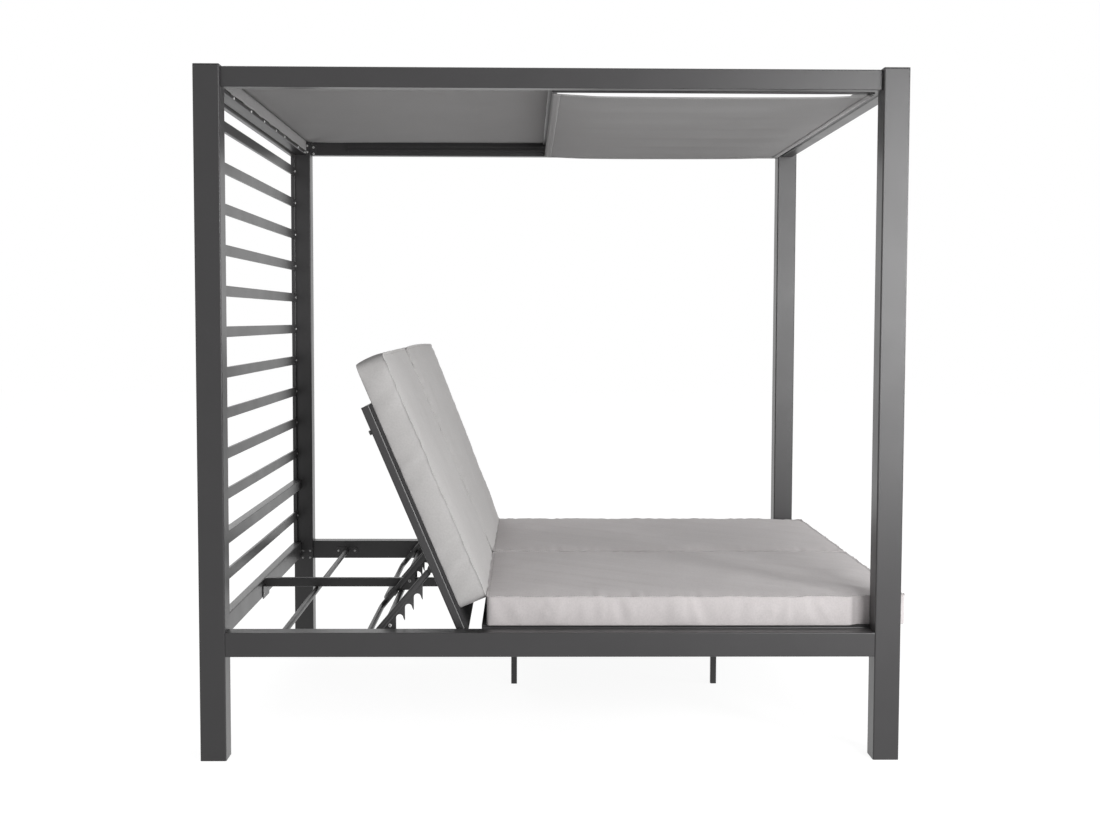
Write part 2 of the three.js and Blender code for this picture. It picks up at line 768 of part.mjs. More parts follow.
// A bent tube from one eye round to the other
function propTube(outerArm, innerArm) {
  const inward = Math.sign(innerArm - outerArm);
  const stops = [new THREE.Vector3(-eyeLength, outerArm, 0)];
  const bend = (centreY, fromAngle) => {
    for (let k = 0; k <= bendSteps; k += 1) {
      const angle = fromAngle + (Math.PI / 2) * k / bendSteps;
      const x = propBend - propReach - propBend * Math.sin(angle);
      const y = centreY - inward * propBend * Math.cos(angle);
      stops.push(new THREE.Vector3(x, y, 0));
    }
  };
  bend(outerArm + inward * propBend, 0);
  bend(innerArm - inward * propBend, Math.PI / 2);
  stops.push(new THREE.Vector3(-eyeLength, innerArm, 0));
  return new THREE.ExtrudeGeometry(circle(barRadius), {
    steps: stops.length - 1,
    extrudePath: new StopLine(stops),
    curveSegments: roundSides / 2,
  });
}

function propEye(y) {
  const span = [y - eyeThickness / 2, y + eyeThickness / 2];
  const disc = rod('y', span, [0, 0], eyeRadius);
  const size = [eyeLength + frameCorner, barDiameter - frameCorner];
  const neck = bar('y', span, [-size[0] / 2, 0], size, frameCorner);
  return join(disc, neck);
}

function prop(side) {
  const outerArm = side.sign * outerArmY;
  const innerArm = side.sign * innerArmY;
  const body = join(
    propTube(outerArm, innerArm),
    propEye(outerArm),
    propEye(innerArm),
    hookPlate(outerArm),
    hookPlate(innerArm),
  );
  const holes = [outerArm, innerArm].map((y) => {
    return rod('y', [y - barDiameter, y + barDiameter], [0, 0], pinBore);
  });
  return cut(body, ...holes);
}

function addBackrests(parent) {
  for (const side of sides) {
    const lift = new THREE.Group();
    lift.position.set(along(hingePlace), 0, hingeHeight);
    lift.rotation.y = tilt;
    parent.add(lift);
    piece(lift, `back_frame_${side.name}`, backFrame(side), powderCoat());
    const panelSpan = [frameTube / 2 + fitGap, backPanelTop];
    const inner = side.sign * frameMiddle;
    const outer = side.sign * frameOuterY;
    const middle = [(backPanelLower - backLength) / 2, (inner + outer) / 2];
    const size = [backLength + backPanelLower, Math.abs(outer - inner)];
    piece(lift, `back_panel_${side.name}`, bar('z', panelSpan, middle, size, frameCorner), darkPanel());
    piece(lift, `back_cushion_${side.name}`, backCushion(side), cushionCloth());
    const swing = new THREE.Group();
    swing.position.set(along(hingePlace) + pivotX, 0, hingeHeight + pivotZ);
    swing.rotation.y = -armAngle;
    parent.add(swing);
    piece(swing, `prop_${side.name}`, prop(side), rodCoat());
  }
}

const evenShares = (count) => Array.from({ length: count + 1 }, (_, index) => index / count);

// Thin cloth laid over a surface given by two shares
function clothSolid(columnShares, rowShares, place, thickness) {
  const columns = columnShares.length - 1;
  const rows = rowShares.length - 1;
  const points = [];
  const count = (columns + 1) * (rows + 1);
  for (const offset of [thickness / 2, -thickness / 2]) {
    for (let i = 0; i <= columns; i += 1) {
      for (let j = 0; j <= rows; j += 1) {
        const [s, t] = [columnShares[i], rowShares[j]];
        const here = place(s, t);
        const alongS = place(s + tangentShare, t).sub(place(s - tangentShare, t));
        const alongT = place(s, t + tangentShare).sub(place(s, t - tangentShare));
        const normal = alongS.cross(alongT).normalize();
        points.push(here.addScaledVector(normal, offset).toArray());
      }
    }
  }
  const at = (layer, i, j) => layer * count + i * (rows + 1) + j;
  const triangles = [];
  const quad = (a, b, c, d) => triangles.push([a, b, c], [a, c, d]);
  for (let i = 0; i < columns; i += 1) {
    for (let j = 0; j < rows; j += 1) {
      quad(at(0, i, j), at(0, i + 1, j), at(0, i + 1, j + 1), at(0, i, j + 1));
      quad(at(1, i, j), at(1, i, j + 1), at(1, i + 1, j + 1), at(1, i + 1, j));
    }
    quad(at(1, i, 0), at(1, i + 1, 0), at(0, i + 1, 0), at(0, i, 0));
    quad(at(0, i, rows), at(0, i + 1, rows), at(1, i + 1, rows), at(1, i, rows));
  }
  for (let j = 0; j < rows; j += 1) {
    quad(at(0, 0, j), at(0, 0, j + 1), at(1, 0, j + 1), at(1, 0, j));
    quad(at(1, columns, j), at(1, columns, j + 1), at(0, columns, j + 1), at(0, columns, j));
  }
  return meshOf(points, triangles);
}

// Canopy: a fixed half on the beams and a half that slides in two tracks
function trackShape() {
  const shape = new THREE.Shape();
  const [d, h, w, lip] = [trackDepth, trackHeight / 2, trackWall, trackLip];
  const outline = [
    [0, -h], [d, -h], [d, -h + w + lip], [d - w, -h + w + lip], [d - w, -h + w], [w, -h + w],
    [w, h - w], [d - w, h - w], [d - w, h - w - lip], [d, h - w - lip], [d, h], [0, h],
  ];
  outline.forEach(([x, y], k) => (k ? shape.lineTo(x, y) : shape.moveTo(x, y)));
  shape.closePath();
  return shape;
}

function addTracks(parent) {
  const span = [along(trackStart), along(length - postSide) - fitGap];
  for (const side of sides) {
    const track = extrudeOn(trackShape(), 'x', span, [0, 0]);
    if (side.sign > 0) track.rotateX(Math.PI);
    track.translate(0, side.sign * (beamInnerY - fitGap), trackTop - trackHeight / 2);
    piece(parent, `canopy_track_${side.name}`, track, powderCoat());
  }
}

function addFixedCanopy(parent) {
  const x0 = along(beamSetback + beamThickness) + fitGap;
  const x1 = along(fixedFabricFoot);
  const reach = beamInnerY - fitGap;
  const flapX = x0 + flapStandoff;
  const level = fixedFabricLevel + fabricThickness / 2;
  const postShare = (along(postSide) + fitGap - x0) / (x1 - x0);
  const clearShare = postShare + fabricThickness / (x1 - x0);
  const columnShares = [0, postShare, ...evenShares(11).map((s) => clearShare + (1 - clearShare) * s)];
  const sheet = clothSolid(columnShares, evenShares(16), (s, t) => {
    const dip = (1 - (2 * s - 1) ** 2) * (1 - (2 * t - 1) ** 2);
    const crease = Math.cos(Math.PI * fixedCreaseCount * t) * Math.sin(Math.PI * s);
    const edge = s < clearShare ? postInnerY - fitGap : reach;
    return new THREE.Vector3(
      x0 + (x1 - x0) * s,
      edge * (2 * t - 1),
      level - fixedSag * dip - fixedCrease * (1 + crease) * Math.min(dip * 2, 1) / 2,
    );
  }, fabricThickness);
  piece(parent, 'canopy_fixed_fabric', sheet, canopyCloth());
  const flapReach = reach - trackDepth - slideRodInset;
  const flap = clothSolid(evenShares(2), evenShares(24), (s, t) => new THREE.Vector3(
    flapX + flapWave * Math.sin(Math.PI * flapWaveCount * t) * (1 - s),
    flapReach * (2 * t - 1),
    fixedFabricLevel - fitGap - flapDrop * (1 - s),
  ), fabricThickness);
  piece(parent, 'canopy_fixed_flap', flap, canopyCloth());
  const barZ = fixedFabricLevel - fixedBarDrop - fixedBarHeight / 2;
  const barX = x1 - fixedBarWidth / 2;
  const stay = bar('y', [-reach, reach], [barX, barZ], [fixedBarWidth, fixedBarHeight], slatCorner, slatWall);
  piece(parent, 'canopy_fixed_bar', stay, powderCoat());
}

// The sliding frame: two cross bars, two side rods and a roller at each corner
function slidingFrame() {
  const barZ = slideBarTop - slideBar / 2;
  const hangerY = beamInnerY - hangerInset;
  const xs = [along(slideHead) + slideBar / 2, along(slideFoot) - slideBar / 2];
  const bars = xs.map((x) => bar('y', [-hangerY, hangerY], [x, barZ], [slideBar, slideBar], railCorner));
  const rodY = beamInnerY - slideRodInset;
  const rods = sides.map((side) => bar('x', xs, [side.sign * rodY, barZ], [slideRod, slideRod], railCorner));
  const hangers = [];
  for (const x of xs) {
    for (const side of sides) hangers.push(...hanger(x, side, hangerY));
  }
  return join(...bars, ...rods, ...hangers);
}

function hanger(x, side, hangerY) {
  const plateSpan = [side.sign * hangerY, side.sign * (hangerY - hangerThickness)];
  const bottom = slideBarTop - slideBar;
  const top = rollerPinHeight + rollerPinDiameter / 2;
  const at = [x, (bottom + top) / 2];
  const plate = bar('y', plateSpan, at, [hangerWidth, top - bottom], slatCorner);
  const rollerOuter = beamInnerY - fitGap - trackWall - rollerClearance;
  const pinSpan = [side.sign * (hangerY - hangerThickness / 2), side.sign * rollerOuter];
  const rollerSpan = [side.sign * rollerOuter, side.sign * (rollerOuter - rollerWidth)];
  return [
    plate,
    pin('y', pinSpan, [x, rollerPinHeight], rollerPinDiameter),
    rod('y', rollerSpan, [x, rollerPinHeight], rollerDiameter / 2),
  ];
}

function addSlidingCanopy(parent) {
  piece(parent, 'canopy_slide_frame', slidingFrame(), rodCoat());
  const x0 = along(slideHead) - slideFabricHem;
  const x1 = along(slideFoot) + slideFabricHem;
  const reach = beamInnerY - slideFabricInset;
  const level = slideBarTop - slideBar - fitGap - fabricThickness / 2;
  const sheet = clothSolid(evenShares(12), evenShares(20), (s, t) => {
    const across = slideEdgeSagShare + (1 - slideEdgeSagShare) * (1 - (2 * t - 1) ** 2);
    const dip = Math.max((1 - (2 * s - 1) ** 4) * across, 0);
    const fade = Math.min(1, s / slideCreaseEndShare, (1 - s) / slideCreaseEndShare);
    const crease = Math.max(1 + Math.cos(Math.PI * slideCreaseCount * t) * fade, 0) / 2;
    return new THREE.Vector3(
      x0 + (x1 - x0) * s,
      reach * (2 * t - 1),
      level - slideSag * dip - slideCrease * crease * Math.min(1, dip * 3),
    );
  }, fabricThickness);
  piece(parent, 'canopy_slide_fabric', sheet, canopyCloth());
}

const daybed = new THREE.Group();
addPosts(daybed);
addRails(daybed);
addBeams(daybed);
addMiddle(daybed);
addLadder(daybed);
addSeats(daybed);
addBackrests(daybed);
addTracks(daybed);
addFixedCanopy(daybed);
addSlidingCanopy(daybed);

export default daybed;
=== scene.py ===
"""An outdoor daybed with a slatted head end, two lifting backrests and a canopy with a sliding half."""

import json
import logging
import math
from dataclasses import dataclass, field
from enum import Enum
from typing import Callable, Iterable, Sequence

import bmesh
import bpy
import numpy as np
from mathutils import Matrix, Vector


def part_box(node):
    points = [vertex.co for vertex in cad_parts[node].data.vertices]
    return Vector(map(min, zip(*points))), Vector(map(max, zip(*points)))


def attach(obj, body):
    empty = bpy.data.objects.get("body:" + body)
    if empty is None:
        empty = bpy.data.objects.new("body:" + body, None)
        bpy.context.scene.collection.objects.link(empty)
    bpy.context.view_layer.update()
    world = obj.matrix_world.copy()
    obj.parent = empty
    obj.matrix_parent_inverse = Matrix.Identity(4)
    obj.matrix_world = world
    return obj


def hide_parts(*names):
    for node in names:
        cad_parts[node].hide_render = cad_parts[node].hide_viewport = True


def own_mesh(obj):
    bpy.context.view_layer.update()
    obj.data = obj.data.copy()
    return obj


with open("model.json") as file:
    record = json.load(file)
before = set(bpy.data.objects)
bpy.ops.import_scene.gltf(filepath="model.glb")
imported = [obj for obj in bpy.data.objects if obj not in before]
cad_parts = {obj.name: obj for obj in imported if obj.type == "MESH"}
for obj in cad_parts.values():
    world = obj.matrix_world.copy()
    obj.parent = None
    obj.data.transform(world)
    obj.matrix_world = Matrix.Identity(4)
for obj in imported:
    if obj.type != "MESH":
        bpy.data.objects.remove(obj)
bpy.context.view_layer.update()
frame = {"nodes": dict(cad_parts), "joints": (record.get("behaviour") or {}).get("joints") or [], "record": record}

log = logging.getLogger("daybed")

PHOTO_WIDTH = 1100
BACK_ANGLE = math.radians(66.95)
Point = tuple[float, float, float]
Colour = tuple[float, float, float]
Socket = bpy.types.NodeSocket


class Side(Enum):
    """The two halves of the bed, with the sign of their Y coordinate."""

    NEAR = -1
    FAR = 1

    @property
    def word(self) -> str:
        """The word that the side's node names end in."""
        return self.name.lower()


class Net:
    """A short way to fill a node tree."""

    def __init__(self, tree: bpy.types.NodeTree) -> None:
        """Takes a tree to fill.

        Args:
            tree: The tree.
        """
        self.tree = tree

    def add(self, kind: str, **values: object) -> bpy.types.Node:
        """Adds one node.

        Args:
            kind: The node's type name.
            **values: Properties of the node, or inputs when the name starts with in_.

        Returns:
            The new node.
        """
        node = self.tree.nodes.new(kind)
        for key, value in values.items():
            if key.startswith("in_"):
                node.inputs[key[3:].replace("_", " ")].default_value = value
            else:
                setattr(node, key, value)
        return node

    def link(self, source: Socket, target: Socket) -> None:
        """Joins an output to an input."""
        self.tree.links.new(source, target)

    def sum(self, first: Socket, second: Socket) -> Socket:
        """Adds two values and returns the total."""
        node = self.add("ShaderNodeMath", operation="ADD")
        self.link(first, node.inputs[0])
        self.link(second, node.inputs[1])
        return node.outputs[0]

    def spread(self, value: Socket, low: float, high: float) -> Socket:
        """Maps a 0 to 1 pattern onto a range of values.

        Args:
            value: The pattern.
            low: The result at 0.
            high: The result at 1.

        Returns:
            The mapped value.
        """
        node = self.add("ShaderNodeMapRange", in_To_Min=low, in_To_Max=high)
        self.link(value, node.inputs["Value"])
        return node.outputs["Result"]

    def shown(self, lit: float, seen: float) -> Socket:
        """Tells rays that show the background apart from rays that light the object.

        Args:
            lit: The value for rays that light.
            seen: The value for camera, glossy and transmission rays.

        Returns:
            The value.
        """
        path = self.add("ShaderNodeLightPath").outputs
        mirrored = self.sum(path["Is Glossy Ray"], path["Is Transmission Ray"])
        return self.spread(self.sum(path["Is Camera Ray"], mirrored), lit, seen)


class NodeNet(Net):
    """The node tree of a new material."""

    def __init__(self, name: str) -> None:
        """Makes an empty material.

        Args:
            name: The material's name.
        """
        self.material = bpy.data.materials.new(name)
        self.material.use_nodes = True
        super().__init__(self.material.node_tree)
        self.tree.nodes.clear()
        self.output = self.add("ShaderNodeOutputMaterial")

    def place(self) -> Socket:
        """The coordinates of a point in its own object."""
        return self.add("ShaderNodeTexCoord").outputs["Object"]

    def noise(self, where: Socket, scale: float, detail: float = 2.0) -> Socket:
        """Adds a noise pattern.

        Args:
            where: The coordinates that it reads.
            scale: Patches per metre.
            detail: How many finer octaves are added.

        Returns:
            The pattern's value from 0 to 1.
        """
        node = self.add("ShaderNodeTexNoise", in_Scale=scale, in_Detail=detail)
        self.link(where, node.inputs["Vector"])
        return node.outputs["Fac"]

    def tint(
        self, shader: bpy.types.Node, pattern: Socket, colour: Colour, shares: tuple[float, float],
    ) -> None:
        """Colours a shader by a pattern.

        Args:
            shader: The shader.
            pattern: The pattern.
            colour: The mean colour.
            shares: How bright the colour is where the pattern is 0 and where it is 1.
        """
        node = self.add("ShaderNodeMix", data_type="RGBA")
        for number, share in zip((6, 7), shares):
            node.inputs[number].default_value = (*(min(c * share, 1.0) for c in colour), 1.0)
        self.link(pattern, node.inputs["Factor"])
        self.link(node.outputs[2], shader.inputs["Base Color"])

    def emboss(self, shader: bpy.types.Node, height: Socket, strength: float, depth: float) -> None:
        """Raises a shader's surface by a pattern.

        Args:
            shader: The shader.
            height: The pattern.
            strength: How strongly it shows, from 0 to 1.
            depth: Its height in metres.
        """
        bump = self.add("ShaderNodeBump", in_Strength=strength, in_Distance=depth)
        self.link(height, bump.inputs["Height"])
        self.link(bump.outputs["Normal"], shader.inputs["Normal"])

    def close(self, surface: Socket) -> bpy.types.Material:
        """Ends the tree with a surface and returns the material."""
        self.link(surface, self.output.inputs["Surface"])
        return self.material


def tone(red: float, green: float, blue: float) -> Colour:
    """Turns a screen colour into the linear values that a shader takes.

    Args:
        red: Red from 0 to 255.
        green: Green from 0 to 255.
        blue: Blue from 0 to 255.

    Returns:
        The linear colour.
    """
    def one(level: float) -> float:
        """The linear value of one channel."""
        share = level / 255
        return share / 12.92 if share <= 0.04045 else ((share + 0.055) / 1.055) ** 2.4

    return one(red), one(green), one(blue)


@dataclass(frozen=True)
class PowderCoat:
    """Baked powder paint on steel: a fine orange peel and slightly uneven sheen."""

    name: str
    colour: Colour
    roughness: float = 0.36
    peel: float = 0.06
    peel_depth: float = 0.0004
    peel_scale: float = 900.0
    cloud_scale: float = 7.0
    specular: float = 0.4
    coat: float = 0.12
    coat_roughness: float = 0.3
    shades: tuple[float, float] = (0.9, 1.12)

    def build(self) -> bpy.types.Material:
        """Makes the material.

        Returns:
            The new material.
        """
        net = NodeNet(self.name)
        place = net.place()
        cloudy = net.noise(place, self.cloud_scale, 3.0)
        shader = net.add(
            "ShaderNodeBsdfPrincipled", in_Specular_IOR_Level=self.specular,
            in_Coat_Weight=self.coat, in_Coat_Roughness=self.coat_roughness,
        )
        net.tint(shader, cloudy, self.colour, self.shades)
        rough = net.spread(cloudy, self.roughness - 0.05, self.roughness + 0.06)
        net.link(rough, shader.inputs["Roughness"])
        net.emboss(shader, net.noise(place, self.peel_scale, 1.0), self.peel, self.peel_depth)
        return net.close(shader.outputs["BSDF"])


@dataclass(frozen=True)
class WovenCloth:
    """Outdoor cloth with crossing yarns and slightly mixed yarn colours."""

    name: str
    colour: Colour
    yarns: float = 1250.0
    depth: float = 0.25
    sheen: float = 0.15
    sheen_roughness: float = 0.6
    roughness: float = 0.92
    specular: float = 0.2
    turn: float = 0.0
    see_through: float = 0.0
    mottle_scale: float = 210.0
    mottle_share: float = 0.7
    patch_scale: float = 3.0
    shades: tuple[float, float] = (0.8, 1.16)
    glow: float = 1.3
    height: float = 0.0006

    def yarn(self, net: NodeNet, where: Socket, direction: str) -> Socket:
        """Adds the ribs of the yarns that lie across one direction.

        Args:
            net: The material's net.
            where: The coordinates that it reads.
            direction: The axis, X, Y or Z.

        Returns:
            The ribs' height from 0 to 1.
        """
        wave = net.add(
            "ShaderNodeTexWave", bands_direction=direction, in_Scale=self.yarns / math.tau,
            in_Distortion=0.6, in_Detail=1.0,
        )
        net.link(where, wave.inputs["Vector"])
        return wave.outputs["Fac"]

    def build(self) -> bpy.types.Material:
        """Makes the material.

        Returns:
            The new material.
        """
        net = NodeNet(self.name)
        mapping = net.add("ShaderNodeMapping", in_Rotation=(0.0, self.turn, 0.0))
        net.link(net.place(), mapping.inputs["Vector"])
        place = mapping.outputs["Vector"]
        yarns = net.sum(self.yarn(net, place, "X"), self.yarn(net, place, "Y"))
        yarns = net.sum(yarns, self.yarn(net, place, "Z"))
        mottle = net.noise(place, self.mottle_scale, 3.0)
        patch = net.noise(place, self.patch_scale)
        shader = net.add(
            "ShaderNodeBsdfPrincipled", in_Roughness=self.roughness, in_Specular_IOR_Level=self.specular,
            in_Sheen_Weight=self.sheen, in_Sheen_Roughness=self.sheen_roughness,
        )
        both = net.add("ShaderNodeMath", operation="MULTIPLY_ADD")
        net.link(mottle, both.inputs[0])
        both.inputs[1].default_value = self.mottle_share
        net.link(net.spread(patch, 0.0, 1 - self.mottle_share), both.inputs[2])
        net.tint(shader, both.outputs[0], self.colour, self.shades)
        relief = net.sum(net.spread(yarns, 0.0, 0.35), net.spread(mottle, 0.0, 0.5))
        net.emboss(shader, relief, self.depth, self.height)
        surface = shader.outputs["BSDF"]
        if self.see_through > 0:
            light = (*(min(c * self.glow, 1.0) for c in self.colour), 1.0)
            through = net.add("ShaderNodeBsdfTranslucent", in_Color=light)
            mix = net.add("ShaderNodeMixShader", in_Fac=self.see_through)
            net.link(surface, mix.inputs[1])
            net.link(through.outputs["BSDF"], mix.inputs[2])
            surface = mix.outputs["Shader"]
        return net.close(surface)


@dataclass(frozen=True)
class MouldedPlastic:
    """Moulded plastic with a fine matte grain."""

    name: str
    colour: Colour
    roughness: float = 0.6
    grain_scale: float = 420.0
    grain: float = 0.2
    grain_depth: float = 0.0003
    cloud_scale: float = 11.0
    shades: tuple[float, float] = (0.88, 1.15)

    def build(self) -> bpy.types.Material:
        """Makes the material.

        Returns:
            The new material.
        """
        net = NodeNet(self.name)
        place = net.place()
        grain = net.noise(place, self.grain_scale)
        shader = net.add("ShaderNodeBsdfPrincipled")
        net.tint(shader, net.noise(place, self.cloud_scale), self.colour, self.shades)
        rough = net.spread(grain, self.roughness - 0.08, self.roughness + 0.08)
        net.link(rough, shader.inputs["Roughness"])
        net.emboss(shader, grain, self.grain, self.grain_depth)
        return net.close(shader.outputs["BSDF"])


@dataclass(frozen=True)
class PlatedSteel:
    """Bright plated steel of the screws, with fine scratches."""

    name: str
    colour: Colour
    metallic: float = 0.3
    scratch_scale: float = 2400.0
    shades: tuple[float, float] = (0.75, 1.0)

    def build(self) -> bpy.types.Material:
        """Makes the material.

        Returns:
            The new material.
        """
        net = NodeNet(self.name)
        scratch = net.noise(net.place(), self.scratch_scale)
        shader = net.add("ShaderNodeBsdfPrincipled", in_Metallic=self.metallic)
        net.tint(shader, scratch, self.colour, self.shades)
        net.link(net.spread(scratch, 0.25, 0.45), shader.inputs["Roughness"])
        return net.close(shader.outputs["BSDF"])


Finish = PowderCoat | WovenCloth | MouldedPlastic | PlatedSteel


def made(finish: Finish) -> bpy.types.Material:
    """Declares an entry of the palette, which is made when the palette is.

    Args:
        finish: The finish.

    Returns:
        The dataclass field that builds it.
    """
    return field(default_factory=finish.build)


@dataclass
class Palette:
    """Every finish on the daybed, made once."""

    frame_coat: bpy.types.Material = made(PowderCoat("frame coat", tone(52, 51, 52)))
    rod_coat: bpy.types.Material = made(PowderCoat("rod coat", tone(58, 57, 58), roughness=0.3, peel=0.04))
    screw: bpy.types.Material = made(PlatedSteel("screw plating", tone(238, 238, 237)))
    cap: bpy.types.Material = made(MouldedPlastic("cap plastic", tone(56, 55, 56)))
    panel: bpy.types.Material = made(MouldedPlastic("deck panel", tone(40, 39, 40), roughness=0.75))
    seat_cloth: bpy.types.Material = made(WovenCloth("seat cloth", tone(197, 192, 192)))
    # The back cloth is the seat cloth drawn a little darker: painted shade on the back cushions.
    back_cloth: bpy.types.Material = made(WovenCloth("back cloth", tone(189, 187, 186), turn=BACK_ANGLE))
    canopy_cloth: bpy.types.Material = made(
        WovenCloth("canopy cloth", tone(169, 168, 168), yarns=1500.0, depth=0.12, see_through=0.24)
    )
    # The hem cloth is the canopy cloth drawn lighter: painted light on the flap and the hems, which hang in shade.
    hem_cloth: bpy.types.Material = made(
        WovenCloth("canopy hem", tone(180, 179, 179), yarns=1500.0, depth=0.12, see_through=0.2)
    )
    thread: bpy.types.Material = made(MouldedPlastic("sewing thread", tone(150, 148, 147)))


def wear(obj: bpy.types.Object, material: bpy.types.Material) -> None:
    """Gives an object one material all over.

    Args:
        obj: The object.
        material: The material.
    """
    if obj.material_slots:
        for place in obj.material_slots:
            place.material = material
    else:
        obj.data.materials.append(material)


def put(name: str, data: bpy.types.ID) -> bpy.types.Object:
    """Puts a new object in the scene.

    Args:
        name: The object's name.
        data: Its mesh, lamp or camera.

    Returns:
        The new object.
    """
    obj = bpy.data.objects.new(name, data)
    bpy.context.scene.collection.objects.link(obj)
    return obj


def mesh_object(
    name: str, points: Iterable[Sequence[float]], faces: Iterable[Sequence[int]],
) -> bpy.types.Object:
    """Makes an object from points and faces and puts it in the scene.

    Args:
        name: The piece's name.
        points: Corner places in metres, in the row frame.
        faces: Corner numbers of each face.

    Returns:
        The new object.
    """
    mesh = bpy.data.meshes.new(name)
    mesh.from_pydata([tuple(p) for p in points], [], [tuple(f) for f in faces])
    mesh.validate()
    mesh.update()
    return put(name, mesh)


def settle(obj: bpy.types.Object) -> None:
    """Turns an object with modifiers into the plain mesh that they give.

    Args:
        obj: The object.
    """
    depsgraph = bpy.context.evaluated_depsgraph_get()
    mesh = bpy.data.meshes.new_from_object(obj.evaluated_get(depsgraph), depsgraph=depsgraph)
    old = obj.data
    obj.modifiers.clear()
    obj.data = mesh
    mesh.name = obj.name
    bpy.data.meshes.remove(old)


def shade_smooth(obj: bpy.types.Object) -> None:
    """Shades every face of an object smooth."""
    for polygon in obj.data.polygons:
        polygon.use_smooth = True


def vertex_rows(mesh: bpy.types.Mesh, key: str) -> np.ndarray:
    """Reads a vector of every vertex.

    Args:
        mesh: The mesh.
        key: What is read, co or normal.

    Returns:
        One row of three numbers for each vertex.
    """
    values = np.zeros(len(mesh.vertices) * 3)
    mesh.vertices.foreach_get(key, values)
    return values.reshape(-1, 3)


def board(obj: bpy.types.Object, body: str) -> None:
    """Sets the body that a piece rides on.

    Args:
        obj: The piece.
        body: The body.
    """
    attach(obj, body)


class GrowthTree(Net):
    """A Geometry Nodes tree with named inputs, built node by node."""

    def __init__(self, name: str, inputs: dict[str, float]) -> None:
        """Makes a tree that takes a geometry and the named sizes.

        Args:
            name: The tree's name.
            inputs: Each size's name and its first value.
        """
        super().__init__(bpy.data.node_groups.new(name, "GeometryNodeTree"))
        face = self.tree.interface
        face.new_socket(name="Geometry", in_out="INPUT", socket_type="NodeSocketGeometry")
        for label, value in inputs.items():
            socket = face.new_socket(name=label, in_out="INPUT", socket_type="NodeSocketFloat")
            socket.default_value = value
        face.new_socket(name="Geometry", in_out="OUTPUT", socket_type="NodeSocketGeometry")
        self.start = self.add("NodeGroupInput")
        self.end = self.add("NodeGroupOutput")

    def scaled(self, source: Socket, share: float) -> Socket:
        """Multiplies a size by a share and returns the result."""
        node = self.add("ShaderNodeMath", operation="MULTIPLY")
        node.inputs[1].default_value = share
        self.link(source, node.inputs[0])
        return node.outputs[0]

    def upward(self, height: Socket) -> Socket:
        """Makes a vector that points up by a height."""
        node = self.add("ShaderNodeCombineXYZ")
        self.link(height, node.inputs["Z"])
        return node.outputs[0]

    def marked(self, mesh: Socket, mark: str) -> Socket:
        """Marks every face of a mesh with a named attribute and returns the mesh.

        Args:
            mesh: The mesh.
            mark: The attribute's name.

        Returns:
            The marked mesh.
        """
        node = self.add(
            "GeometryNodeStoreNamedAttribute", data_type="BOOLEAN", domain="FACE",
            in_Name=mark, in_Value=True,
        )
        self.link(mesh, node.inputs["Geometry"])
        return node.outputs["Geometry"]

    def coated(self, mesh: Socket, material: bpy.types.Material, mark: str = "") -> Socket:
        """Gives a mesh, or its marked faces, a material.

        Args:
            mesh: The mesh.
            material: The finish.
            mark: The name of the faces' mark, or nothing for all of them.

        Returns:
            The dressed mesh.
        """
        node = self.add("GeometryNodeSetMaterial", in_Material=material)
        if mark:
            chosen = self.add("GeometryNodeInputNamedAttribute", data_type="BOOLEAN", in_Name=mark)
            self.link(chosen.outputs["Attribute"], node.inputs["Selection"])
        self.link(mesh, node.inputs["Geometry"])
        return node.outputs["Geometry"]

    def finish(self, instances: Socket, coats: dict[str, bpy.types.Material]) -> None:
        """Makes the copies real, dresses them and ends the tree.

        Args:
            instances: The placed copies.
            coats: The finish of each mark, with an empty mark for all faces.
        """
        real = self.add("GeometryNodeRealizeInstances")
        self.link(instances, real.inputs["Geometry"])
        last = real.outputs["Geometry"]
        for mark, material in coats.items():
            last = self.coated(last, material, mark)
        self.link(last, self.end.inputs["Geometry"])

    def copies(self, points: Socket, piece: Socket, facing: Socket) -> Socket:
        """Sets a copy of a piece on every point, turned so that its Z axis follows a vector.

        Args:
            points: The points.
            piece: The piece.
            facing: The vector at each point.

        Returns:
            The copies.
        """
        turned = self.add("FunctionNodeAlignRotationToVector", axis="Z")
        self.link(facing, turned.inputs["Vector"])
        node = self.add("GeometryNodeInstanceOnPoints")
        self.link(points, node.inputs["Points"])
        self.link(piece, node.inputs["Instance"])
        self.link(turned.outputs["Rotation"], node.inputs["Rotation"])
        return node.outputs["Instances"]

    def apply(self, obj: bpy.types.Object, sizes: dict[str, float]) -> None:
        """Runs the tree on an object and keeps the result as its plain mesh.

        Args:
            obj: The object that carries the places.
            sizes: The values of the named inputs.
        """
        modifier = obj.modifiers.new("Growth", "NODES")
        modifier.node_group = self.tree
        for label, value in sizes.items():
            modifier[self.tree.interface.items_tree[label].identifier] = value
        settle(obj)


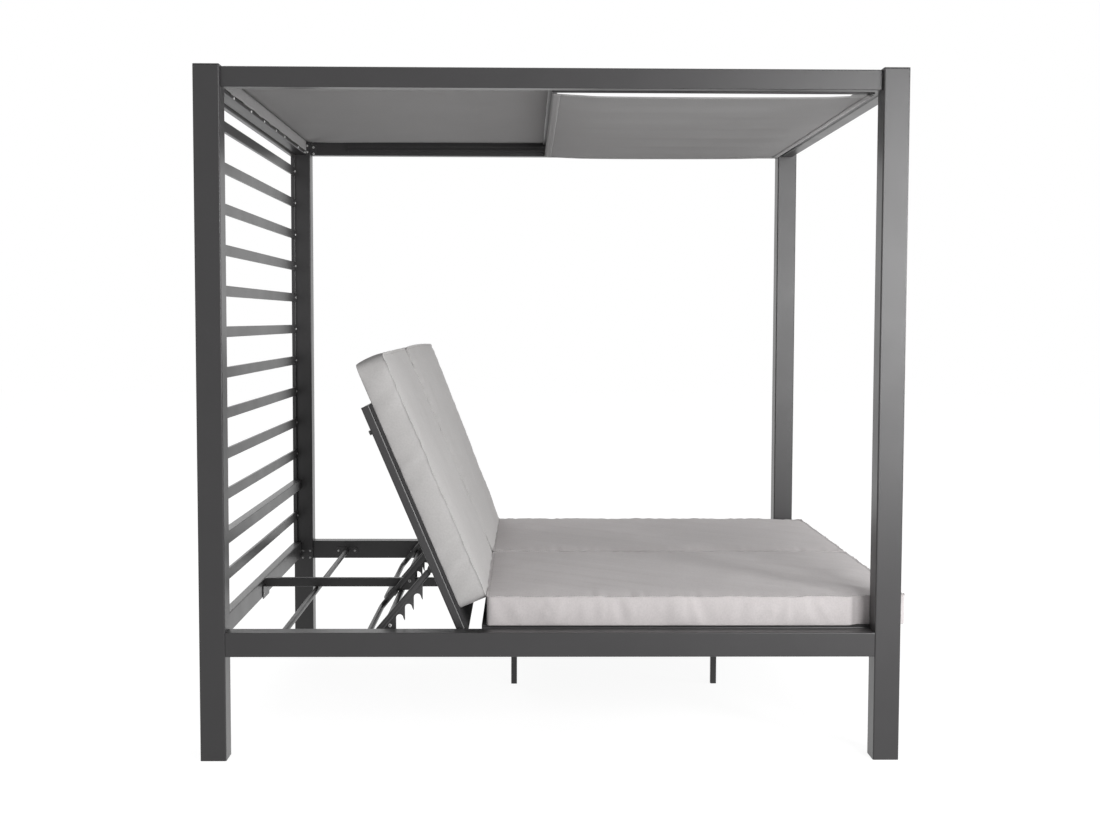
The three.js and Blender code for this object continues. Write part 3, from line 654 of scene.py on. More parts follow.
class Screws:
    """Pan head screws, set on places that face any way, with painted shade in the socket: a dark disc on the head
    stands in for the shadow in its hex recess.
    """

    sides: int = 14
    top_share: float = 0.66
    socket_sides: int = 6
    socket_share: float = 0.38
    socket_depth: float = 0.5
    socket_level: float = 0.8
    height_share: float = 0.55

    def __init__(self, palette: Palette) -> None:
        """Builds the tree once.

        Args:
            palette: The finishes of the head and of the painted shade in its socket.
        """
        tree = GrowthTree("screw heads", {"Radius": 0.004, "Height": 0.002})
        radius, height = tree.start.outputs["Radius"], tree.start.outputs["Height"]
        head = tree.add("GeometryNodeMeshCone", in_Vertices=self.sides)
        tree.link(radius, head.inputs["Radius Bottom"])
        tree.link(tree.scaled(radius, self.top_share), head.inputs["Radius Top"])
        tree.link(height, head.inputs["Depth"])
        socket = tree.add("GeometryNodeMeshCylinder", in_Vertices=self.socket_sides)
        tree.link(tree.scaled(radius, self.socket_share), socket.inputs["Radius"])
        tree.link(tree.scaled(height, self.socket_depth), socket.inputs["Depth"])
        raised = tree.add("GeometryNodeTransform")
        tree.link(socket.outputs["Mesh"], raised.inputs["Geometry"])
        tree.link(tree.upward(tree.scaled(height, self.socket_level)), raised.inputs["Translation"])
        both = tree.add("GeometryNodeJoinGeometry")
        # The socket disc is marked so that it takes the dark deck panel finish: painted shade in the hex recess.
        tree.link(tree.marked(raised.outputs["Geometry"], "painted_socket_shade"), both.inputs["Geometry"])
        tree.link(head.outputs["Mesh"], both.inputs["Geometry"])
        facing = tree.add("GeometryNodeInputNamedAttribute", data_type="FLOAT_VECTOR", in_Name="facing")
        copies = tree.copies(
            tree.start.outputs["Geometry"], both.outputs["Geometry"], facing.outputs["Attribute"],
        )
        # The dark panel finish on the marked socket disc is painted shade, not the screw's own colour.
        tree.finish(copies, {"": palette.screw, "painted_socket_shade": palette.panel})
        self.tree = tree

    def build(self, name: str, body: str, places: list[tuple[Point, Point]], radius: float) -> None:
        """Sets one body's screws.

        Args:
            name: The piece's name.
            body: The body that they ride on.
            places: Each screw's place and the way that it faces.
            radius: The radius of a head.
        """
        obj = mesh_object(name, [place for place, _ in places], [])
        facing = obj.data.attributes.new("facing", "FLOAT_VECTOR", "POINT")
        facing.data.foreach_set("vector", [value for _, way in places for value in way])
        self.tree.apply(obj, {"Radius": radius, "Height": radius * self.height_share})
        board(obj, body)
        log.info("%s: %d screws", name, len(places))


class Stitches:
    """Short threads in a row along a line."""

    sides: int = 5
    sizes: dict[str, float] = {"Radius": 0.00045, "Long": 0.0048, "Spacing": 0.0075}

    def __init__(self, palette: Palette) -> None:
        """Builds the tree once.

        Args:
            palette: The finish of the thread.
        """
        tree = GrowthTree("stitch row", self.sizes)
        line = tree.add("GeometryNodeMeshToCurve")
        tree.link(tree.start.outputs["Geometry"], line.inputs["Mesh"])
        even = tree.add("GeometryNodeResampleCurve", mode="LENGTH")
        tree.link(line.outputs["Curve"], even.inputs["Curve"])
        tree.link(tree.start.outputs["Spacing"], even.inputs["Length"])
        thread = tree.add("GeometryNodeMeshCylinder", in_Vertices=self.sides)
        tree.link(tree.start.outputs["Radius"], thread.inputs["Radius"])
        tree.link(tree.start.outputs["Long"], thread.inputs["Depth"])
        tangent = tree.add("GeometryNodeInputTangent")
        copies = tree.copies(even.outputs["Curve"], thread.outputs["Mesh"], tangent.outputs["Tangent"])
        tree.finish(copies, {"": palette.thread})
        self.tree = tree

    def build(
        self, name: str, lines: list[list[Sequence[float]]], closed: bool = False,
    ) -> bpy.types.Object:
        """Sews threads along some lines.

        Args:
            name: The piece's name.
            lines: The points of each line.
            closed: True where each line returns to its start.

        Returns:
            The row of threads, which rides on nothing yet.
        """
        points = [spot for line in lines for spot in line]
        edges, start = [], 0
        for line in lines:
            edges += [(start + k, start + k + 1) for k in range(len(line) - 1)]
            if closed:
                edges.append((start + len(line) - 1, start))
            start += len(line)
        mesh = bpy.data.meshes.new(name)
        mesh.from_pydata([tuple(spot) for spot in points], edges, [])
        obj = put(name, mesh)
        self.tree.apply(obj, self.sizes)
        return obj


RIPPLE_WAVES = ((1.0, 1.0, 3.1), (0.6, 1.73, 5.7), (0.45, 0.61, 1.9))
RIPPLE_TOTAL = 2.05


def ripple(where: np.ndarray, wave: float, seed: float) -> np.ndarray:
    """A smooth uneven wave along a line, the same on every run.

    Args:
        where: Distances along the line, in metres.
        wave: The mean wave length, in metres.
        seed: A number that shifts the pattern.

    Returns:
        Values from about -1 to 1.
    """
    turn = math.tau / wave
    total = np.zeros(np.shape(where))
    for strength, pace, shift in RIPPLE_WAVES:
        total = total + strength * np.sin(turn * pace * where + seed * shift)
    return total / RIPPLE_TOTAL


@dataclass(frozen=True)
class Folds:
    """The folds of a filled cover: depths and wave lengths in metres, and their shares."""

    seam_rises: tuple[float, float] = (0.0021, 0.0017)
    seam_waves: tuple[float, float] = (0.047, 0.23)
    seam_slant: float = 1.3
    fold_depth: float = 0.0050
    fold_wave: float = 0.083
    fold_patch: float = 0.4
    crease_depth: float = 0.0088
    crease_wave: float = 0.13
    crease_patch: float = 0.37
    slant: float = 0.55
    slant_wave: float = 0.31
    pucker_depth: float = 0.0046
    pucker_waves: tuple[float, float] = (0.037, 0.019)
    pucker_fade: float = 0.04
    pucker_start: float = 0.008
    broad_depth: float = 0.0032
    broad_waves: tuple[float, float] = (0.37, 0.29)
    broad_start: float = 0.08
    base_margin: float = 0.002


@dataclass
class BoxCushion:
    """A box cushion of one side of the bed: two panels and a strip sewn between them."""

    name: str
    node: str
    body: str
    side: Side
    low: Point
    high: Point
    notch: tuple[float, float] | None = None
    notch_run: float = 0.014
    step: float = 0.014
    seam_inset: float = 0.007
    corner: float = 0.02
    swell: float = 0.009
    lean: float = 0.0
    slump: float = 0.0
    pressing: float = 0.012
    cap: float = 0.009
    side_cap: float = 0.007
    pressure: float = 3.0
    frames: int = 20
    quality: int = 4
    cloth_mass: float = 0.3
    cloth_stretch: float = 12.0
    cloth_bend: float = 0.4
    fill: float = 0.75
    slump_power: int = 6
    lean_fade: float = 0.75
    lean_power: float = 0.6
    crown_power: float = 0.35
    crown_share: float = 0.9
    crown_margin: float = 0.006
    welt: float = 0.0016
    welt_sides: int = 6
    meeting_share: float = 0.2
    meeting_start: float = 0.01
    meeting_fade: float = 0.05
    thread_row: int = 2
    thread_lift: float = 0.0002
    seam_steps: tuple[float, ...] = (0.0, 0.003, 0.007, 0.012, 0.018)
    strip_levels: tuple[float, ...] = (0.04, 0.1, 0.2, 0.32, 0.44, 0.56, 0.68, 0.8, 0.9, 0.96)
    folds: Folds = Folds()
    turn: Matrix = field(default_factory=lambda: Matrix.Identity(4))

    @property
    def seam(self) -> float:
        """The level of the upper seam."""
        return self.high[2] - self.swell

    def plan(self, s: float, t: float, level: float) -> Point:
        """A point of the cover, from its share of the way along and across.

        Args:
            s: Share of the way along X.
            t: Share of the way across Y.
            level: Its height.

        Returns:
            The point, with the round corners and the notch at the foot post.
        """
        inset = self.seam_inset
        x0, x1 = self.low[0] + inset, self.high[0] - inset
        y0, y1 = self.low[1] + inset, self.high[1] - inset
        x = x0 + (x1 - x0) * s + self.slump * (1 - s) ** self.slump_power * t * t
        if self.notch is not None:
            start, depth = self.notch
            share = min(max((x - start) / self.notch_run, 0.0), 1.0)
            if self.side is Side.NEAR:
                y0 += depth * share
            else:
                y1 -= depth * share
        y = y0 + (y1 - y0) * t
        across = self.corner_way(x, x0, x1)
        up = self.corner_way(y, y0, y1)
        if across and up:
            x += across * self.corner * (math.sqrt(1 - up * up / 2) - 1)
            y += up * self.corner * (math.sqrt(1 - across * across / 2) - 1)
        return (x, y, level)

    def lifted(self, s: float, t: float, level: float) -> float:
        """The height of the upper panel, with its uneven seam and any lean of the filling.

        Args:
            s: Share of the way along X.
            t: Share of the way across Y.
            level: The level before. A level under the seam stays as it is.

        Returns:
            The level after.
        """
        if level < self.seam:
            return level
        x = s * (self.high[0] - self.low[0])
        y = t * (self.high[1] - self.low[1])
        run = np.array([x + y * self.folds.seam_slant])
        waves = zip(self.folds.seam_rises, self.folds.seam_waves, (len(self.name), 2.0))
        uneven = sum(rise * float(ripple(run, wave, seed)[0]) for rise, wave, seed in waves)
        return level + uneven + self.lean * (1 - self.lean_fade * s) * t**self.lean_power

    def corner_way(self, value: float, low: float, high: float) -> float:
        """How far a place lies into the corner zone at either end, from -1 to 1."""
        if value < low + self.corner:
            return (value - low - self.corner) / self.corner
        if value > high - self.corner:
            return (value - high + self.corner) / self.corner
        return 0.0

    def shares(self, length: float) -> list[float]:
        """Evenly spread shares with closer ones beside both seams.

        Args:
            length: The length that they divide, in metres.

        Returns:
            Shares from 0 to 1.
        """
        near = list(self.seam_steps)
        count = round((length - 2 * near[-1]) / self.step)
        middle = [near[-1] + (length - 2 * near[-1]) * k / count for k in range(1, count)]
        places = near + middle + [length - value for value in reversed(near)]
        return [place / length for place in places]

    def build_mesh(self) -> bpy.types.Object:
        """Makes the unfilled cover: a grid on both panels and rows of faces on the strip.

        Returns:
            The cover, with a vertex group that holds its seams and its flat underside.
        """
        along = self.shares(self.high[0] - self.low[0])
        across = self.shares(self.high[1] - self.low[1])
        columns, rows = len(along) - 1, len(across) - 1
        ring = [(i, 0) for i in range(columns)] + [(columns, j) for j in range(rows)]
        ring += [(i, rows) for i in range(columns, 0, -1)] + [(0, j) for j in range(rows, 0, -1)]
        base = self.low[2]
        points: list[Point] = []
        faces: list[tuple[int, ...]] = []
        grids = []
        for level in (base, self.seam):
            start = len(points)
            points += [self.plan(s, t, self.lifted(s, t, level)) for s in along for t in across]
            grids.append(lambda i, j, start=start: start + i * (rows + 1) + j)
        bottom, top = grids
        for i in range(columns):
            for j in range(rows):
                faces.append((top(i, j), top(i + 1, j), top(i + 1, j + 1), top(i, j + 1)))
                faces.append((bottom(i, j), bottom(i, j + 1), bottom(i + 1, j + 1), bottom(i + 1, j)))
        rims = [[bottom(i, j) for i, j in ring]]
        for share in self.strip_levels:
            rims.append(list(range(len(points), len(points) + len(ring))))
            for i, j in ring:
                s, t = along[i], across[j]
                top_level = self.lifted(s, t, self.seam)
                points.append(self.plan(s, t, base + (top_level - base) * share))
        rims.append([top(i, j) for i, j in ring])
        for lower, upper in zip(rims, rims[1:]):
            for k in range(len(ring)):
                n = (k + 1) % len(ring)
                faces.append((lower[k], lower[n], upper[n], upper[k]))
        obj = mesh_object(self.name, points, faces)
        held = obj.vertex_groups.new(name="sewn")
        held.add([index for index, spot in enumerate(points) if spot[2] < base + 1e-6], 1.0, "REPLACE")
        held.add(rims[-1], 1.0, "REPLACE")
        self.rim = rims[-1]
        self.panel = [top(i, j) for i in range(columns + 1) for j in range(rows + 1)]
        reach = self.thread_row
        far_i, far_j = columns - reach, rows - reach
        row = [(i, reach) for i in range(reach, far_i)] + [(far_i, j) for j in range(reach, far_j)]
        row += [(i, far_j) for i in range(far_i, reach, -1)] + [(reach, j) for j in range(far_j, reach, -1)]
        self.row = [top(i, j) for i, j in row]
        self.flat = np.array([spot[2] for spot in points])
        return obj

    def blow(self, obj: bpy.types.Object) -> None:
        """Fills the cover by a cloth simulation with pressure inside, and caps how far a point may move.

        Args:
            obj: The unfilled cover.
        """
        rest = vertex_rows(obj.data, "co")
        cloth = obj.modifiers.new("Cloth", "CLOTH")
        settings = cloth.settings
        settings.quality = self.quality
        settings.mass = self.cloth_mass
        settings.tension_stiffness = settings.compression_stiffness = self.cloth_stretch
        settings.bending_stiffness = self.cloth_bend
        settings.use_pressure = True
        settings.uniform_pressure_force = self.pressure
        settings.effector_weights.gravity = 0
        settings.vertex_group_mass = "sewn"
        cloth.point_cache.frame_start = 1
        cloth.point_cache.frame_end = self.frames
        scene = bpy.context.scene
        for number in range(1, self.frames + 1):
            scene.frame_set(number)
        depsgraph = bpy.context.evaluated_depsgraph_get()
        shift = vertex_rows(obj.evaluated_get(depsgraph).data, "co") - rest
        length = np.linalg.norm(shift[:, :2], axis=1, keepdims=True)
        log.info("%s: swelled by up to %.4f and %.4f m", self.name, length.max(), shift[:, 2].max())
        shift[:, :2] *= np.minimum(1.0, self.side_cap / np.maximum(length, 1e-9))
        shift[:, 2] = self.cap * np.tanh(shift[:, 2] / self.cap)
        shift[:, 0] *= self.free_share(rest[:, 0])
        obj.modifiers.clear()
        obj.data.vertices.foreach_set("co", (rest + shift).ravel())
        scene.frame_set(1)

    def free_share(self, x: np.ndarray) -> np.ndarray:
        """How freely the cover may bulge: little where a seat and a lowered back cushion meet.

        Args:
            x: Places along the cushion.

        Returns:
            A share from meeting_share to 1 for each place.
        """
        away = (x - self.low[0]) if self.notch is not None else (self.high[0] - x)
        freed = np.clip((away - self.meeting_start) / self.meeting_fade, 0, 1)
        return self.meeting_share + (1 - self.meeting_share) * freed

    def wrinkle(self, obj: bpy.types.Object) -> None:
        """Adds the puckers along the seams and the soft upright folds of the side strip.

        Args:
            obj: The filled cover.
        """
        x0, y0, z0 = self.low
        x1, y1, _ = self.high
        seed = float(len(self.name)) + (2.0 if self.side is Side.FAR else 0.0)
        mesh = obj.data
        co, normal = vertex_rows(mesh, "co"), vertex_rows(mesh, "normal")
        edge_x = np.minimum(co[:, 0] - x0, x1 - co[:, 0])
        edge_y = np.minimum(co[:, 1] - y0, y1 - co[:, 1])
        along = np.where(edge_x < edge_y, co[:, 1], co[:, 0])
        edge = np.minimum(edge_x, edge_y)
        on_top = np.zeros(len(co), dtype=bool)
        on_top[self.panel] = True
        height = (co[:, 2] - z0) / (self.seam - z0)
        side_fold = np.sin(np.pi * np.clip(height, 0, 1)) ** 0.6
        folds = self.folds
        strip = (~on_top) & (co[:, 2] > z0 + folds.base_margin)
        shift = np.zeros(len(co))
        slanted = along + (co[:, 2] - z0) * folds.slant * ripple(along, folds.slant_wave, seed + 9)
        crease = (1 - np.clip(np.abs(ripple(slanted, folds.crease_wave, seed)), 0, 1)) ** 3
        crease *= np.clip(0.35 + 0.65 * ripple(along, folds.crease_patch, seed + 4), 0.1, 1)
        fold = 0.8 * ripple(slanted, folds.fold_wave, seed + 2)
        fold = fold * (0.5 + 0.5 * ripple(along, folds.fold_patch, seed + 5))
        shift[strip] = ((folds.fold_depth * fold + folds.crease_depth * crease) * side_fold)[strip]
        fade = np.exp(-np.maximum(edge, 0) / folds.pucker_fade) * np.clip(edge / folds.pucker_start, 0, 1)
        coarse, fine = folds.pucker_waves
        pucker = ripple(along, coarse, seed + 1) + 0.5 * ripple(along, fine, seed + 6)
        shift[on_top] = (folds.pucker_depth * pucker * fade)[on_top]
        long_wave, cross_wave = folds.broad_waves
        broad = ripple(co[:, 0] + 0.4 * co[:, 1], long_wave, seed)
        broad = broad * ripple(co[:, 1] - 0.3 * co[:, 0], cross_wave, seed + 3)
        inner = np.clip(edge / folds.broad_start, 0, 1)
        shift[on_top] += (folds.broad_depth * broad * inner)[on_top]
        shift *= self.free_share(co[:, 0])
        mesh.vertices.foreach_set("co", (co + normal * shift[:, None]).ravel())

    def sew(self, obj: bpy.types.Object) -> list[tuple[Vector, Vector]]:
        """Collects the upper seam's points, with the direction that the seam faces.

        Args:
            obj: The finished cover.

        Returns:
            Point and outward direction of each place round the seam.
        """
        mesh = obj.data
        middle = Vector(((self.low[0] + self.high[0]) / 2, (self.low[1] + self.high[1]) / 2, self.seam))
        found = []
        for index in self.rim:
            spot = mesh.vertices[index].co.copy()
            outward = spot - middle
            outward.z = 0
            found.append((spot, (mesh.vertices[index].normal + outward.normalized() * 0.2).normalized()))
        return found

    def add_welt(self, seam: list[tuple[Vector, Vector]], material: bpy.types.Material) -> bpy.types.Object:
        """Makes the raised stitched edge that runs along the upper seam.

        Args:
            seam: Point and outward direction of each place round the seam.
            material: The cover's cloth.

        Returns:
            The closed ring.
        """
        sides = self.welt_sides
        points, faces = [], []
        count = len(seam)
        for k, (spot, outward) in enumerate(seam):
            ahead = (seam[(k + 1) % count][0] - seam[k - 1][0]).normalized()
            across = ahead.cross(outward).normalized()
            bulge = outward - ahead * outward.dot(ahead)
            bulge.normalize()
            for n in range(sides):
                angle = math.tau * n / sides
                ring = across * math.cos(angle) + bulge * math.sin(angle)
                points.append(spot + bulge * self.welt * 0.35 + ring * self.welt)
        for k in range(count):
            here, there = k * sides, ((k + 1) % count) * sides
            for n in range(sides):
                m = (n + 1) % sides
                faces.append((here + n, here + m, there + m, there + n))
        obj = mesh_object(f"{self.name}_welt", points, faces)
        work = bmesh.new()
        work.from_mesh(obj.data)
        bmesh.ops.recalc_face_normals(work, faces=work.faces)
        work.to_mesh(obj.data)
        work.free()
        shade_smooth(obj)
        obj.data.transform(self.turn)
        wear(obj, material)
        board(obj, self.body)
        return obj

    def add_stitches(self, obj: bpy.types.Object, stitches: Stitches) -> bpy.types.Object:
        """Sews the row of threads beside the upper seam.

        Args:
            obj: The finished cover, before it is turned.
            stitches: The maker of the threads.

        Returns:
            The row of threads.
        """
        vertices = obj.data.vertices
        line = [vertices[index].co + vertices[index].normal * self.thread_lift for index in self.row]
        row = stitches.build(f"{self.name}_stitches", [line], closed=True)
        row.data.transform(self.turn)
        board(row, self.body)
        return row

    def press(self, pieces: list[bpy.types.Object]) -> None:
        """Lets the cushion shorten a little as the backrest goes down and the two cushions meet.

        Args:
            pieces: The cover and all that is sewn to it.
        """
        for piece in pieces:
            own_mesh(piece)

    def build(self, material: bpy.types.Material, stitches: Stitches) -> bpy.types.Object:
        """Makes, fills and dresses the cushion.

        Args:
            material: The cover's cloth.
            stitches: The maker of the threads beside the seam.

        Returns:
            The finished piece.
        """
        obj = self.build_mesh()
        self.blow(obj)
        self.wrinkle(obj)
        finer = obj.modifiers.new("Finer", "SUBSURF")
        finer.levels = finer.render_levels = 1
        settle(obj)
        shade_smooth(obj)
        sewn = [self.add_welt(self.sew(obj), material), self.add_stitches(obj, stitches)]
        obj.data.transform(self.turn)
        wear(obj, material)
        board(obj, self.body)
        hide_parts(self.node)
        self.press([obj, *sewn])
        return obj


@dataclass
class Cushions:
    """The four loose cushions."""

    tilt: float = BACK_ANGLE
    seat_reach: float = 0.011
    seat_pressing: float = 0.008
    back_pressing: float = 0.014
    seat_foot: float = 0.006
    seat_corner: float = 0.012
    back_start: float = 0.0465
    back_end: float = 0.832
    back_inner: float = 0.005
    back_outer: float = 0.8285
    back_base: float = 0.0201
    thickness: float = 0.093
    back_corner: float = 0.034
    far_lean: float = 0.034
    far_slump: float = 0.017
    notch_start: float = 0.8565
    notch_depth: float = 0.02

    def hinge(self, side: Side) -> Vector:
        """The place of a backrest's hinge."""
        for joint in frame["joints"]:
            if joint["name"] == f"backrest_hinge_{side.word}":
                return Vector(joint["pos_m"])
        raise ValueError(side)

    def seat(self, side: Side) -> BoxCushion:
        """The seat cushion of one side.

        Args:
            side: The side.

        Returns:
            The cushion, not built yet.
        """
        low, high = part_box(f"seat_cushion_{side.word}")
        return BoxCushion(
            f"seat_cushion_cover_{side.word}", f"seat_cushion_{side.word}", "frame", side,
            (low[0] - self.seat_reach, low[1], low[2]), (high[0] + self.seat_foot, high[1], high[2]),
            notch=(self.notch_start, self.notch_depth), corner=self.seat_corner, pressing=self.seat_pressing,
        )

    def back(self, side: Side) -> BoxCushion:
        """The back cushion of one side, drawn flat and turned up to its angle.

        Args:
            side: The side.

        Returns:
            The cushion, not built yet.
        """
        y0, y1 = sorted((side.value * self.back_inner, side.value * self.back_outer))
        turn = Matrix.Translation(self.hinge(side)) @ Matrix.Rotation(self.tilt, 4, "Y")
        low = (-self.back_end, y0, self.back_base)
        high = (-self.back_start, y1, self.back_base + self.thickness)
        lean, slump = (self.far_lean, self.far_slump) if side is Side.FAR else (0.0, 0.0)
        return BoxCushion(
            f"back_cushion_cover_{side.word}", f"back_cushion_{side.word}", f"cushion_{side.word}", side,
            low, high, turn=turn, lean=lean, slump=slump, corner=self.back_corner,
            pressing=self.back_pressing,
        )

    def build(self, palette: Palette, stitches: Stitches) -> None:
        """Makes all four cushions."""
        for side in Side:
            self.seat(side).build(palette.seat_cloth, stitches)
            # The back cushions wear the darker copy of the seat cloth: painted shade.
            self.back(side).build(palette.back_cloth, stitches)
            log.info("cushions of the %s side", side.word)


@dataclass
class Sheet:
    """One sheet of canopy cloth, drawn as a fine grid and given its thickness."""

    name: str
    place: Callable[[float, float], Point]
    columns: int
    rows: int
    thickness: float = 0.0014

    def build(self, material: bpy.types.Material) -> bpy.types.Object:
        """Makes the sheet.

        Args:
            material: Its cloth.

        Returns:
            The finished mesh.
        """
        points = [
            self.place(i / self.columns, j / self.rows)
            for i in range(self.columns + 1)
            for j in range(self.rows + 1)
        ]
        stride = self.rows + 1
        faces = [
            (i * stride + j, (i + 1) * stride + j, (i + 1) * stride + j + 1, i * stride + j + 1)
            for i in range(self.columns)
            for j in range(self.rows)
        ]
        obj = mesh_object(self.name, points, faces)
        wall = obj.modifiers.new("Wall", "SOLIDIFY")
        wall.thickness = self.thickness
        wall.offset = 0
        settle(obj)
        shade_smooth(obj)
        wear(obj, material)
        return obj


@dataclass
class Canopy:
    """The canopy's cloth: the fixed half, its flap at the head end and the sliding half."""

    head_x: float = -0.9577
    post_x: float = -0.9432
    fixed_foot_x: float = -0.0055
    fixed_z: float = 1.959
    fixed_reach: float = 0.8448
    post_reach: float = 0.8302
    fixed_sag: float = 0.007
    fixed_crease: float = 0.0034
    pleat_depth: float = 0.006
    pleat_start: float = 0.04
    pleat_fade: float = 0.28
    flap_reach: float = 0.795
    flap_top: float = 1.9565
    flap_drop: float = 0.038
    hem_drop: float = 0.0013
    slide_head_x: float = -0.0185
    slide_foot_x: float = 0.9015
    slide_z: float = 1.9026
    slide_reach: float = 0.8145
    slide_sag: float = 0.012
    slide_crease: float = 0.0042
    slide_fine: float = 0.0008
    flap_wave: float = 0.0016
    flap_gap: float = 0.0022
    hem_thickness: float = 0.0008
    thread_drop: float = 0.0006
    thread_line: float = 0.86
    thread_points: int = 60
    near_band: tuple[float, float] = (0.0015, 0.0155)
    far_band: tuple[float, float] = (0.9845, 0.9985)
    head_band: tuple[float, float] = (0.001, 0.027)
    foot_band: tuple[float, float] = (0.973, 0.999)
    cross_span: tuple[float, float] = (0.002, 0.998)
    fixed_span: tuple[float, float] = (0.03, 0.97)
    slide_span: tuple[float, float] = (0.028, 0.972)
    fixed_grid: tuple[int, int] = (66, 170)
    flap_grid: tuple[int, int] = (6, 220)
    slide_grid: tuple[int, int] = (70, 150)
    fixed_waves: float = 6.5
    flap_waves: tuple[float, float] = (7.3, 17.0)
    slide_waves: tuple[float, float] = (5.2, 13.0)
    pleat_waves: float = 9.0

    def fixed_place(self, s: float, t: float) -> Point:
        """A point of the fixed half.

        Args:
            s: Share of the way from the head end.
            t: Share of the way across.

        Returns:
            The point.
        """
        x = self.head_x + (self.fixed_foot_x - self.head_x) * s
        reach = self.post_reach if x < self.post_x else self.fixed_reach
        dip = (1 - (2 * s - 1) ** 2) * (1 - (2 * t - 1) ** 2)
        crease = 0.5 + 0.5 * math.sin(math.tau * self.fixed_waves * t + 1.7 * math.sin(3 * s))
        level = self.fixed_z - self.fixed_sag * dip - self.fixed_crease * crease * min(1.0, 2.5 * dip)
        return (x, reach * (2 * t - 1), level - self.pleats(s, t))

    def pleats(self, s: float, t: float) -> float:
        """How far the pull of the head corners presses the fixed half down.

        Args:
            s: Share of the way from the head end.
            t: Share of the way across.

        Returns:
            The depth at the point, fading out from the nearer corner.
        """
        along = s * (self.fixed_foot_x - self.head_x)
        across = min(t, 1 - t) * 2 * self.fixed_reach
        fade = min(1.0, along / self.pleat_start, across / self.pleat_start)
        fade *= math.exp(-math.hypot(along, across) / self.pleat_fade)
        return self.pleat_depth * fade * (0.6 + math.sin(self.pleat_waves * math.atan2(across, along)))

    def flap_place(self, s: float, t: float) -> Point:
        """A point of the flap.

        Args:
            s: Share of the way down from its top edge.
            t: Share of the way across.

        Returns:
            The point.
        """
        broad, fine = self.flap_waves
        wave = math.sin(math.tau * broad * t) + 0.5 * math.sin(math.tau * fine * t + 1.0)
        x = self.head_x + self.flap_gap + self.flap_wave * s * wave
        return (x, self.flap_reach * (2 * t - 1), self.flap_top - self.flap_drop * s)

    def slide_place(self, s: float, t: float) -> Point:
        """A point of the sliding half.

        Args:
            s: Share of the way from the head end.
            t: Share of the way across.

        Returns:
            The point.
        """
        x = self.slide_head_x + (self.slide_foot_x - self.slide_head_x) * s
        ends = min(1.0, 7 * s, 7 * (1 - s))
        dip = max(0.0, 1 - (2 * s - 1) ** 4) * (0.35 + 0.65 * (1 - (2 * t - 1) ** 2))
        broad_waves, fine_waves = self.slide_waves
        crease = 0.5 + 0.5 * math.sin(math.tau * broad_waves * t + 1.3 * math.sin(2.4 * s + 1) + 4 * t)
        fine = 0.5 + 0.5 * math.sin(math.tau * fine_waves * t + 2.0 * s)
        creases = self.slide_crease * crease + self.slide_fine * fine
        level = self.slide_z - self.slide_sag * dip - creases * ends
        return (x, self.slide_reach * (2 * t - 1), level)

    def hems(
        self, sheet: Sheet, bands: dict[str, tuple[float, float, float, float]], body: str, palette: Palette,
        stitches: Stitches,
    ) -> list[bpy.types.Object]:
        """Makes the doubled cloth under a sheet's edges, with a row of threads along each.

        Args:
            sheet: The sheet.
            bands: Each hem's name, with the shares where it starts and ends along and across.
            body: The body that they ride on.
            palette: The finishes.
            stitches: The maker of the threads.

        Returns:
            The hems and their threads.
        """
        made = []
        for word, (s0, s1, t0, t1) in bands.items():
            def place(s: float, t: float) -> Point:
                """A point of the hem, just under the sheet."""
                x, y, z = sheet.place(s0 + (s1 - s0) * s, t0 + (t1 - t0) * t)
                return (x, y, z - self.hem_drop)

            wide = (s1 - s0) < (t1 - t0)
            columns, rows = (3, sheet.rows) if wide else (sheet.columns, 3)
            name = f"{sheet.name}_hem_{word}"
            # The hems wear the lighter copy of the canopy cloth: painted light.
            hem = Sheet(name, place, columns, rows, self.hem_thickness).build(palette.hem_cloth)
            inner = self.thread_line if (s0 + t0) < 0.5 else 1 - self.thread_line
            shares = [k / self.thread_points for k in range(self.thread_points + 1)]
            line = [place(inner, share) if wide else place(share, inner) for share in shares]
            line = [(x, y, z - self.thread_drop) for x, y, z in line]
            threads = stitches.build(f"{name}_stitches", [line])
            for obj in (hem, threads):
                board(obj, body)
                made.append(obj)
        return made

    def stretch(
        self, sheet: Sheet, node: str, body: str, bands: dict[str, tuple[float, float, float, float]],
        palette: Palette, stitches: Stitches,
    ) -> None:
        """Makes a stretched sheet with its hems.

        Args:
            sheet: The sheet.
            node: The node that it replaces.
            body: The body that it rides on.
            bands: Where its hems run.
            palette: The finishes.
            stitches: The maker of the threads.
        """
        cloth = sheet.build(palette.canopy_cloth)
        board(cloth, body)
        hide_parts(node)
        hems = self.hems(sheet, bands, body, palette, stitches)

    def build(self, palette: Palette, stitches: Stitches) -> None:
        """Makes the three sheets and their hems.

        Args:
            palette: The finishes.
            stitches: The maker of the threads.
        """
        edges = (("near", self.near_band), ("far", self.far_band))
        bands = {word: (*self.fixed_span, *band) for word, band in edges}
        sheet = Sheet("canopy_fixed_sheet", self.fixed_place, *self.fixed_grid)
        self.stretch(
            sheet, "canopy_fixed_fabric", "frame", bands, palette, stitches,
        )
        # The flap wears the lighter copy of the canopy cloth: painted light on a sheet that hangs in shade.
        flap = Sheet("canopy_flap_sheet", self.flap_place, *self.flap_grid).build(palette.hem_cloth)
        board(flap, "frame")
        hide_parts("canopy_fixed_flap")
        bands = {"head": (*self.head_band, *self.cross_span), "foot": (*self.foot_band, *self.cross_span)}
        bands.update({word: (*self.slide_span, *band) for word, band in edges})
        sheet = Sheet("canopy_slide_sheet", self.slide_place, *self.slide_grid)
        self.stretch(
            sheet, "canopy_slide_fabric", "canopy_slider", bands,
            palette, stitches,
        )
        log.info("canopy sheets")


